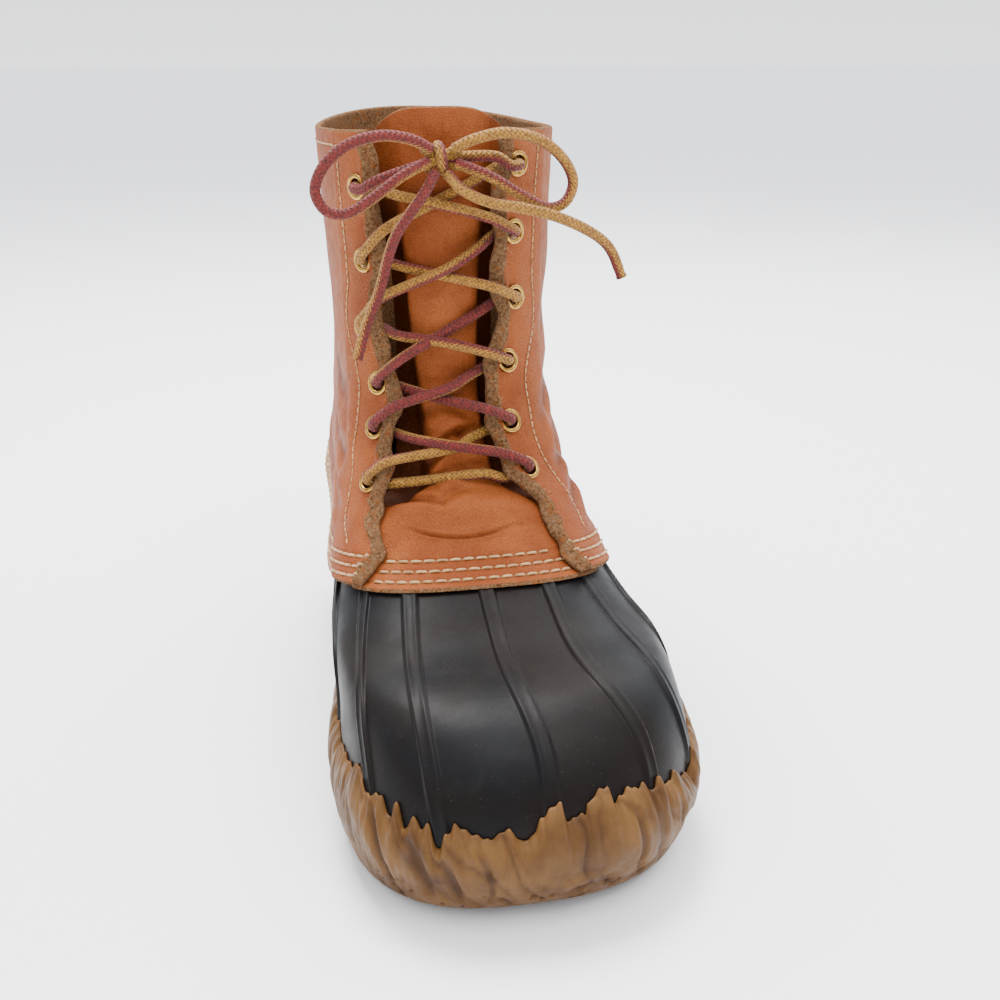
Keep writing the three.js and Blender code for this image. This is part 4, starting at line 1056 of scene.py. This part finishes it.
def turned(profile, seat, sides=28):
    """Points and faces of a ring turned from a closed profile of radius and height."""
    matrix = np.array(Vector((0, 0, 1)).rotation_difference(Vector(seat["normal"])).to_matrix())
    angles = np.linspace(0, 2 * pi, sides, endpoint=False)
    rings = np.array([[(r * cos(a), r * sin(a), z) for a in angles] for r, z in profile])
    points = rings.reshape(-1, 3) @ matrix.T + seat["point"]
    return points, grid_faces(0, len(profile), sides, True, True)[:, ::-1]


def eyelets():
    half, middle = (EYELET_RADIUS - EYELET_BORE) / 2, (EYELET_RADIUS + EYELET_BORE) / 2
    flange = [(middle + half * cos(a), 0.35 + 0.75 * sin(a)) for a in np.linspace(0, pi, 9)]
    barrel = [(EYELET_BORE, 0.0), (EYELET_BORE, -2.7), (EYELET_BORE + 0.6, -2.7), (EYELET_BORE + 0.6, -0.1)]
    profile = [(EYELET_RADIUS, 0.1), *flange[1:], *barrel]
    for side, name in ((-1, "medial"), (1, "lateral")):
        for row in range(EYELET_ROWS):
            place = f"{name}_{row + 1}"
            points, faces = turned(profile, eyelet_seat(side, row))
            make_mesh(f"eyelet_ring_{place}", points, faces, BRASS, "brass", [f"eyelet_{place}"])


def punch_eyelet_holes(piece):
    """Cuts the bores that the eyelets line."""
    parts = []
    for side in (-1, 1):
        for row in range(EYELET_ROWS):
            seat = eyelet_seat(side, row)
            line = [seat["point"] + seat["normal"] * z for z in (-9, 5)]
            parts.append(tube(line, EYELET_BORE + 0.75, 20))
    points, faces = gathered(parts)
    mesh = bpy.data.meshes.new("punches")
    mesh.from_pydata(((points + TO_FRAME) * MM).tolist(), [], faces)
    cutter = bpy.data.objects.new("punches", mesh)
    bpy.context.scene.collection.objects.link(cutter)
    cut = piece.modifiers.new("holes", "BOOLEAN")
    cut.object, cut.operation, cut.solver = cutter, "DIFFERENCE", "EXACT"
    graph = bpy.context.evaluated_depsgraph_get()
    finished = bpy.data.meshes.new_from_object(piece.evaluated_get(graph))
    piece.modifiers.clear()
    piece.data = finished
    bpy.data.objects.remove(cutter)


def tongue_out(level, distance):
    half = SHAFT_WIDTH * curve(TONGUE, "level", level, "half")
    across = distance / half
    sink = SHAFT_WIDTH * curve(TONGUE, "level", level, "sink")
    puff = SHAFT_WIDTH * curve(TONGUE, "level", level, "puff")
    return CLEARANCE - sink + puff * np.maximum(0, 1 - (across / 0.62) ** 2)


TONGUE_MIDDLE = columns(
    "level middle half",
    [
        (4.7, 0, 30), (6.3, 1, 28), (6.75, 3.5, 15.5), (7.3, 3, 12.5), (8.2, 2, 13.5), (9, 1, 15.5),
        (11.4, 0, 19),
    ],
)


def tongue_ridge(level, distance):
    """The tongue stands up as a rounded ridge between two deep folds beside it."""
    away = np.abs(distance - curve(TONGUE_MIDDLE, "level", level, "middle"))
    half = curve(TONGUE_MIDDLE, "level", level, "half")
    shown = smooth(level, 6.15, 6.7) * (1 - 0.85 * smooth(level, 9.2, 10.6))
    crown = 2.6 * (1 - np.clip(away / half, 0, 1) ** 2)
    folds = 6.5 * smooth(away, half - 2, half + 6)
    return shown * (crown - folds) + 0.5 * (1 - shown) * smooth(level, 5.6, 6)


def vamp_tongue():
    levels = np.concatenate([
        LEATHER_EDGE + np.array([0, 0.008, 0.025, 0.05]), np.linspace(4.83, 7.6, 120),
        np.linspace(7.6, 11.3, 60)[1:], TONGUE_TOP - np.array([0.03, 0.012, 0]),
    ])
    across = np.sin(np.linspace(-1, 1, 141) * pi / 2)[::-1]
    level, share = np.meshgrid(levels, across, indexing="ij")
    top = (TONGUE_TOP - level) * TOP_STEP + 0.03
    level = level - 0.42 * np.abs(share) ** 4 * smooth(level, 10.5, TONGUE_TOP)
    distance = share * SHAFT_WIDTH * curve(TONGUE, "level", level, "half")
    turn = turn_at(level, distance)
    rise = rise_at(level, turn)
    flat = on_last(level, turn, 0)
    relief = crease_relief(TONGUE_CREASES, level, distance) * smooth(rise, 14, 20)
    relief += row_relief(rise) + 0.25 * noise(flat, 22, 31) * smooth(rise, 15, 22) + 0.05 * noise(flat, 5, 32)
    relief += tongue_ridge(level, distance)
    outer_out = tongue_out(level, distance) + TONGUE_WALL + relief
    inner_out = tongue_out(level, distance) + np.minimum(relief, 0) * smooth(level, 5.85, 6.1)
    side_gap = (1 - np.abs(share)) * SHAFT_WIDTH * 0.5
    bottom = rise + 0.03
    ends = rounding(np.minimum(bottom, top), 0.9) * rounding(side_gap + 0.05, 1.0)
    middle, half = (outer_out + inner_out) / 2, (outer_out - inner_out) / 2 * ends
    raw = 1 - smooth(np.minimum(np.minimum(bottom, top), side_gap + 0.4), 0.35, 0.8)
    # Painted shade in the tongue's creases and in the deep folds beside it
    painted_shade = np.clip(-relief * 0.4, 0, 1)
    leather_wall("vamp_tongue", level, turn, middle + half, middle - half, raw, painted_shade)


# Levels of the backstay's ends, and how far its seams lie in from its edges
BACKSTAY_FOOT, BACKSTAY_TOP = 5.3, 10.97
SEAM_INSET = 3


def backstay_half(level):
    """Half the strip's width, which narrows upwards."""
    return BACKSTAY_WIDTH / 2 * (1 - 0.2 * smooth(level, BACKSTAY_FOOT, BACKSTAY_TOP))


def backstay_base(level, turn):
    """How far out of the last the strip's inner face lies, over the quarters."""
    relief = quarter_out(level, distance_at(level, turn), 1)[1]
    return QUARTER_OVER_RUBBER + LEATHER_WALL + CLEARANCE + np.clip(relief, -0.2, 0.6)


def backstay():
    levels = np.concatenate([np.linspace(BACKSTAY_FOOT, 10.9, 80), [10.93, 10.955, BACKSTAY_TOP]])
    level, share = np.meshgrid(levels, np.linspace(-1, 1, 33), indexing="ij")
    turn = 1 - share * backstay_half(level) / girth_at(level, 1)
    base = backstay_base(level, turn)
    edge = np.minimum((1 - np.abs(share)) * BACKSTAY_WIDTH / 2, (level - BACKSTAY_FOOT + 0.02) * 20)
    wall = BACKSTAY_WALL * rounding(np.minimum(edge, (BACKSTAY_TOP + 0.01 - level) * 22) + 0.03, 0.9)
    groove = 0.3 * np.exp(-(((edge - SEAM_INSET) / 0.8) ** 2))
    raw = 1 - smooth(edge, 0.25, 0.6)
    leather_wall("backstay", level, turn, base + wall - groove, base, raw, 0 * raw, 1)


QUARTERS = quarters()
punch_eyelet_holes(QUARTERS)
vamp_tongue()
backstay()
eyelets()


FIBRES = 420


def fibres():
    """Short loose fibres of the raw leather: along the throat's cut edges and the lower edge."""
    rng = np.random.default_rng(5)
    parts = []
    for side in (1, -1):
        level = rng.uniform(4.8, 10.9, FIBRES)
        from_edge = rng.uniform(0.2, RAW_WIDTH, FIBRES)
        distance = side * (throat_edge(level, side) + edge_wave(level, side) + from_edge)
        out = quarter_inner(level, np.abs(distance)) + quarter_thickness(from_edge, level)
        parts += hairs(rng, level, turn_at(level, distance), out - 0.1, 1.0)
    turn = rng.uniform(-0.95, 0.95, FIBRES)
    level = np.full(FIBRES, LEATHER_EDGE + 0.01)
    parts += hairs(rng, level, turn, rng.uniform(1.2, 2.6, FIBRES), 0.7)
    make_mesh("leather_fibres", *gathered(parts), THREAD, "tan_leather")


def hairs(rng, level, turn, out, length):
    """Thin bent hairs that stand out of a surface, each its own way."""
    root, outward = on_last(level, turn, out), normals_at(level, turn)
    lean = rng.normal(0, 0.8, root.shape)
    bend = rng.normal(0, 0.5, root.shape)
    long = (length * rng.uniform(0.5, 1.4, len(root)))[:, None]
    middle = root + long * 0.5 * (outward + lean * 0.7)
    tip = middle + long * 0.5 * (outward * 0.5 + lean + bend)
    return [tube(np.array(line), [0.06, 0.05, 0.02], 3) for line in zip(root, middle, tip)]


fibres()


# Stitching: the pitch, the length and the thread's radius of each kind
LOWER_STITCH = (4.9, 4.1, 0.55)
SEAM_STITCH = (3.1, 2.4, 0.3)
STRIP_STITCH = (3.4, 2.5, 0.3)


def sewn(level, turn, out, stitch, shown=slice(None)):
    """Stitches along a line a distance out from the last, where it is shown."""
    return stitch_row(on_last(level, turn, out)[shown], normals_at(level, turn)[shown], *stitch)


def stitch_row(line, outward, pitch, length, radius):
    """Stitches along a line on a surface, each sunk at its ends."""
    run = np.concatenate([[0], np.cumsum(np.linalg.norm(np.diff(line, axis=0), axis=1))])
    parts = []
    for start in np.arange(0.5 * pitch, run[-1] - length, pitch):
        at = start + length * np.array([0, 0.16, 0.5, 0.84, 1])
        place = np.stack([np.interp(at, run, line[:, i]) for i in range(3)], axis=1)
        out = np.stack([np.interp(at, run, outward[:, i]) for i in range(3)], axis=1)
        lift = np.array([-0.6, 0.4, 0.65, 0.4, -0.6]) * radius
        parts.append(tube(place + out * lift[:, None], radius * np.array([0.8, 1, 1.05, 1, 0.8]), 6))
    return parts


def lower_rows():
    """Three rows round the leather's lower edge, over the vamp and then over the quarters."""
    parts = []
    for rise in ROW_RISES:
        turn = np.linspace(-0.16, 0.16, 200)
        level = level_up(turn % 2, rise)
        distance = distance_at(level, turn)
        edge = np.where(distance > 0, throat_edge(level, 1), throat_edge(level, -1))
        shown = np.abs(distance) < edge + 1
        parts += sewn(level, turn, tongue_out(level, distance) + TONGUE_WALL - 0.25, LOWER_STITCH, shown)
        for side in (1, -1):
            turn = np.linspace(0.06, 0.93, 260)
            turn = turn if side > 0 else 2 - turn
            level = level_up(turn, rise)
            distance = distance_at(level, turn)
            shown = np.abs(distance) > throat_edge(level, side) + 1.2
            out = quarter_out(level, distance, side)[0] + 0.1
            parts += sewn(level, turn, out, LOWER_STITCH, shown)
    return parts


def seam_rows():
    """A fine seam beside the throat on each side, and one under the collar."""
    parts = []
    for side in (1, -1):
        level = np.linspace(5.45, 10.85, 160)
        distance = side * (throat_edge(level, side) + SEAM_FROM_EDGE)
        out = quarter_out(level, distance, side)[0] + 0.1
        parts += sewn(level, turn_at(level, distance), out, SEAM_STITCH)
        turn = np.linspace(0.22, 0.93, 200)
        turn = turn if side > 0 else 2 - turn
        level = np.full(200, COLLAR - 0.2)
        out = quarter_out(level, distance_at(level, turn), side)[0]
        parts += sewn(level, turn, out, STRIP_STITCH)
    return parts


def backstay_rows():
    parts = []
    for side in (1, -1):
        level = np.linspace(5.45, 10.85, 120)
        turn = 1 + side * (backstay_half(level) - SEAM_INSET) / girth_at(level, 1)
        parts += sewn(level, turn, backstay_base(level, turn) + BACKSTAY_WALL - 0.3, STRIP_STITCH)
    return parts


for part_name, rows in (("stitches_lower", lower_rows()), ("stitches_seams", seam_rows()),
                        ("stitches_back", backstay_rows())):
    make_mesh(part_name, *gathered(rows), THREAD, "tan_leather")


# Lace, with how far it lies out over the throat's raw edge and how far in behind the leather
OVER_EDGE = QUARTER_OVER_TONGUE + LEATHER_WALL + 2.0 + LACE_RADIUS
BEHIND_LEATHER = LEATHER_WALL + 1.2 + LACE_RADIUS


def lay(level, side, distance, out):
    return on_last(level, turn_at(level, side * distance), out)


def tongue_top(level, distance=0.0):
    return tongue_out(level, distance) + tongue_ridge(level, distance) + TONGUE_WALL + LACE_RADIUS + CLEARANCE


def up_through(seat, side, levels, dip=0.0):
    """From behind an eyelet up through it and over the throat's edge, through three levels."""
    edge = throat_edge(seat["level"], side)
    return [
        seat["point"] - seat["normal"] * 4.6,
        seat["point"] + seat["normal"] * 0.4,
        lay(levels[0], side, seat["distance"] - 1.6, seat["out"] + 1.3 + LACE_RADIUS),
        lay(levels[1], side, edge + 2.5, OVER_EDGE + 0.4),
        lay(levels[2], side, edge - 3.5, OVER_EDGE - dip),
    ]


def strand(side, row, over):
    """From under one eyelet up through it, over the throat's edge and the tongue, and under the next."""
    start, end = eyelet_seat(side, row), eyelet_seat(-side, row + 1)
    far_edge = throat_edge(end["level"], -side)
    under = end["out"] - BEHIND_LEATHER

    def at(share):
        """A strand climbs early and then runs flatter, so that it bows upward over the tongue."""
        rise = share + 0.55 * share * (1 - share)
        return start["level"] + (end["level"] - start["level"]) * rise

    middle = tongue_top(at(0.5)) + (2 * LACE_RADIUS * 0.9 if over else 0.2)
    return up_through(start, side, (at(0.03), at(0.12), at(0.27)), 0.4) + [
        lay(at(0.5), side, 0.0, middle),
        lay(at(0.7), -side, far_edge - 6.5, max(under, middle - 2.4)),
        lay(at(0.88), -side, far_edge + 2.0, under),
        lay(at(0.97), -side, end["distance"] - 1.5, under - 0.2),
    ]


def bar():
    ends = [eyelet_seat(side, 0) for side in (1, -1)]
    level = (ends[0]["level"] + ends[1]["level"]) / 2
    points = []
    for side, seat in zip((1, -1), ends):
        deep = seat["out"] - BEHIND_LEATHER
        edge = throat_edge(level, side)
        part = [
            lay(seat["level"], side, seat["distance"] - 1.0, deep),
            lay(level, side, edge - 1, deep + 0.3),
            lay(level + 0.08, side, edge / 2, tongue_top(level + 0.08, side * edge / 2) + 0.8),
        ]
        points += part if side > 0 else part[::-1]
    return points


KNOT = np.array([-11.5, -3.0, 224.0])
LOOP_LATERAL = [
    (-7.3, -6.4, 227.4), (0, -10, 231), (11, -11.5, 233), (23, -11, 230.5), (32, -9.5, 224),
    (36.5, -8.5, 215.5), (33.5, -8.5, 208), (26, -9.5, 206.5), (16, -11, 211.5), (5, -11, 218),
    (-6.5, -6.6, 222.4),
]
LOOP_MEDIAL = [
    (-15.7, -6.4, 227.4), (-23, -10, 231), (-34, -11.5, 232.5), (-45.5, -11, 229.5), (-54, -9.5, 222.5),
    (-57.5, -8.5, 214), (-54, -8.5, 207), (-46.5, -9.5, 206), (-37, -11, 211.5), (-27, -11, 218.5),
    (-16.7, -6.6, 223.1),
]
END_LATERAL = [
    (-9.7, -6, 218.7), (-5, -11.5, 213.5), (4, -15.5, 209.5), (15, -17, 207.5), (27, -16.5, 204.5),
    (38, -14.5, 200), (46.5, -12, 195), (51.8, -10, 189.5), (56, -9.9, 180),
]
END_MEDIAL = [
    (-14.1, -6.2, 219.1), (-18.5, -10.5, 213), (-24.5, -12, 205.5), (-29.5, -11, 198), (-32.5, -9, 189.8),
    (-35.8, -8.2, 178.3), (-41.2, -8, 165.2), (-45.2, -8, 152.4),
]


def tie(side):
    """From a top eyelet over the throat's edge to the knot."""
    seat = eyelet_seat(side, EYELET_ROWS - 1)
    level = seat["level"]
    return up_through(seat, side, (level, level, level + 0.1)) + [KNOT - TO_FRAME]


LACE_SIDES, LACE_STEP = 16, 0.7


def lace_mesh(name, lines, nodes, tip=False):
    """Braided cords along lines, with their own length and girth as their texture's directions."""
    parts, smooth_lines = [], []
    for line in lines:
        count = max(int(line_length(line) / LACE_STEP), 12)
        smooth_lines.append(spline(line, count))
        radius = np.full(count, LACE_RADIUS)
        if tip:
            radius[-6:] = LACE_RADIUS * np.array([1, 0.97, 0.93, 0.95, 1.02, 1.08])
        parts.append(tube(smooth_lines[-1], radius, LACE_SIDES))
    piece = make_mesh(name, *gathered(parts), BRAID, "lace_braid", nodes)
    uv = piece.data.uv_layers.new(name="UVMap")
    length = LACE_STEP / (2 * pi * LACE_RADIUS)
    for polygon in piece.data.polygons:
        sides = [v % LACE_SIDES for v in polygon.vertices]
        wraps = 0 in sides and LACE_SIDES - 1 in sides
        for loop, vertex, side in zip(polygon.loop_indices, polygon.vertices, sides):
            turn = 1.0 if wraps and side == 0 else side / LACE_SIDES
            uv.data[loop].uv = (vertex // LACE_SIDES * length, turn)
    return piece, smooth_lines[0]


def lace_run():
    """The whole lace from the knot down one side, across the bar and up the other side."""
    halves = []
    for side in (1, -1):
        points = []
        here = side
        for row in range(EYELET_ROWS - 1):
            points += strand(here, row, over=(here > 0) == (row % 2 == 0))
            here = -here
        halves.append(points + tie(here))
    line = halves[0][::-1] + bar() + halves[1]
    nodes = [f"lace_crossing_{k}" for k in range(1, EYELET_ROWS)] + ["lace_bar"]
    lace_mesh("lace_run", [line], nodes)


lace_run()


def knot():
    """A wrap round the middle of the bow, over the strands that cross there."""
    centre = KNOT - TO_FRAME
    turns = np.linspace(0, 2.2 * pi, 26)[:, None]
    wrap = np.concatenate([-1.8 + 3.4 * turns / turns[-1], 3.4 * np.cos(turns), 4.2 * np.sin(turns)], axis=1)
    under = np.array([(-6.5, 0.5, 3.5), (-2.5, 1.0, 1.0), (2.5, 1.0, -1.0), (6.5, 0.5, -3.5)])
    over = np.array([(-6.5, 0.5, -3.5), (-2.5, -0.5, -1.2), (2.5, -0.5, 1.2), (6.5, 0.5, 3.5)])
    return lace_mesh("lace_knot_detail", [centre + wrap, centre + under, centre + over], ["lace_knot"])[0]


KNOT_PIECE = knot()
for cord_name, route, far_end in (
    ("loop_lateral", LOOP_LATERAL, "knot"), ("loop_medial", LOOP_MEDIAL, "knot"),
    ("end_lateral", END_LATERAL, "bare"), ("end_medial", END_MEDIAL, "bare"),
):
    cord, centre = lace_mesh(f"lace_{cord_name}_detail", [np.array(route) - TO_FRAME], [f"lace_{cord_name}"],
                             tip=far_end == "bare")
    centre = (centre + TO_FRAME) * MM


# Insole
insole = bpy.data.objects["insole"]
insole.data.materials.clear()
insole.data.materials.append(FELT)


# Studio. The world's glow is a sum of spans, each along one axis: from, to and the glow at each
WORLD = [
    (2, (0.0, 1.0, 0.7, 3.2)),
    (2, (0.0, 0.2, 1.25, 0.0)),
    (1, (-1.0, 1.0, -0.3, 0.3)),
    (0, (-1.0, -0.3, -0.45, 0.0)),
]
LIGHTS = [
    {"name": "top", "place": (-0.1, 0.5, 1.3), "size": 0.7, "power": 48},
    {"name": "front_left", "place": (-1.1, -0.9, 0.9), "size": 0.8, "power": 3},
    {"name": "back_right", "place": (0.9, 0.7, 0.9), "size": 0.8, "power": 8},
    {"name": "over_toe", "place": (0.2, -0.5, 1.1), "size": 0.5, "power": 7},
]


def studio():
    bpy.ops.mesh.primitive_plane_add(size=60, location=(0, 0, -0.0005))
    floor = bpy.context.object
    floor.name = "floor"
    floor.data.materials.append(floor_paint())
    world = bpy.data.worlds.new("studio")
    bpy.context.scene.world = world
    world.use_nodes = True
    nodes, links = world.node_tree.nodes, world.node_tree.links
    up = nodes.new("ShaderNodeSeparateXYZ")
    links.new(nodes.new("ShaderNodeTexCoord").outputs["Generated"], up.inputs[0])
    total = None
    for axis, span in WORLD:
        glow = nodes.new("ShaderNodeMapRange")
        for key, value in zip(("From Min", "From Max", "To Min", "To Max"), span):
            glow.inputs[key].default_value = value
        links.new(up.outputs[axis], glow.inputs["Value"])
        before, total = total, nodes.new("ShaderNodeMath")
        links.new(glow.outputs["Result"], total.inputs[0])
        total.inputs[1].default_value = 0.0
        if before is not None:
            links.new(before.outputs[0], total.inputs[1])
    links.new(total.outputs[0], nodes["Background"].inputs["Strength"])
    nodes["Background"].inputs["Color"].default_value = rgb(246, 248, 252)
    for row in LIGHTS:
        light = bpy.data.lights.new(row["name"], "AREA")
        light.size = row["size"]
        light.energy = row["power"]
        lamp = bpy.data.objects.new(row["name"], light)
        bpy.context.scene.collection.objects.link(lamp)
        lamp.location = row["place"]
        lamp.rotation_euler = (Vector((0, 0, 0.08)) - lamp.location).to_track_quat("-Z", "Y").to_euler()


studio()
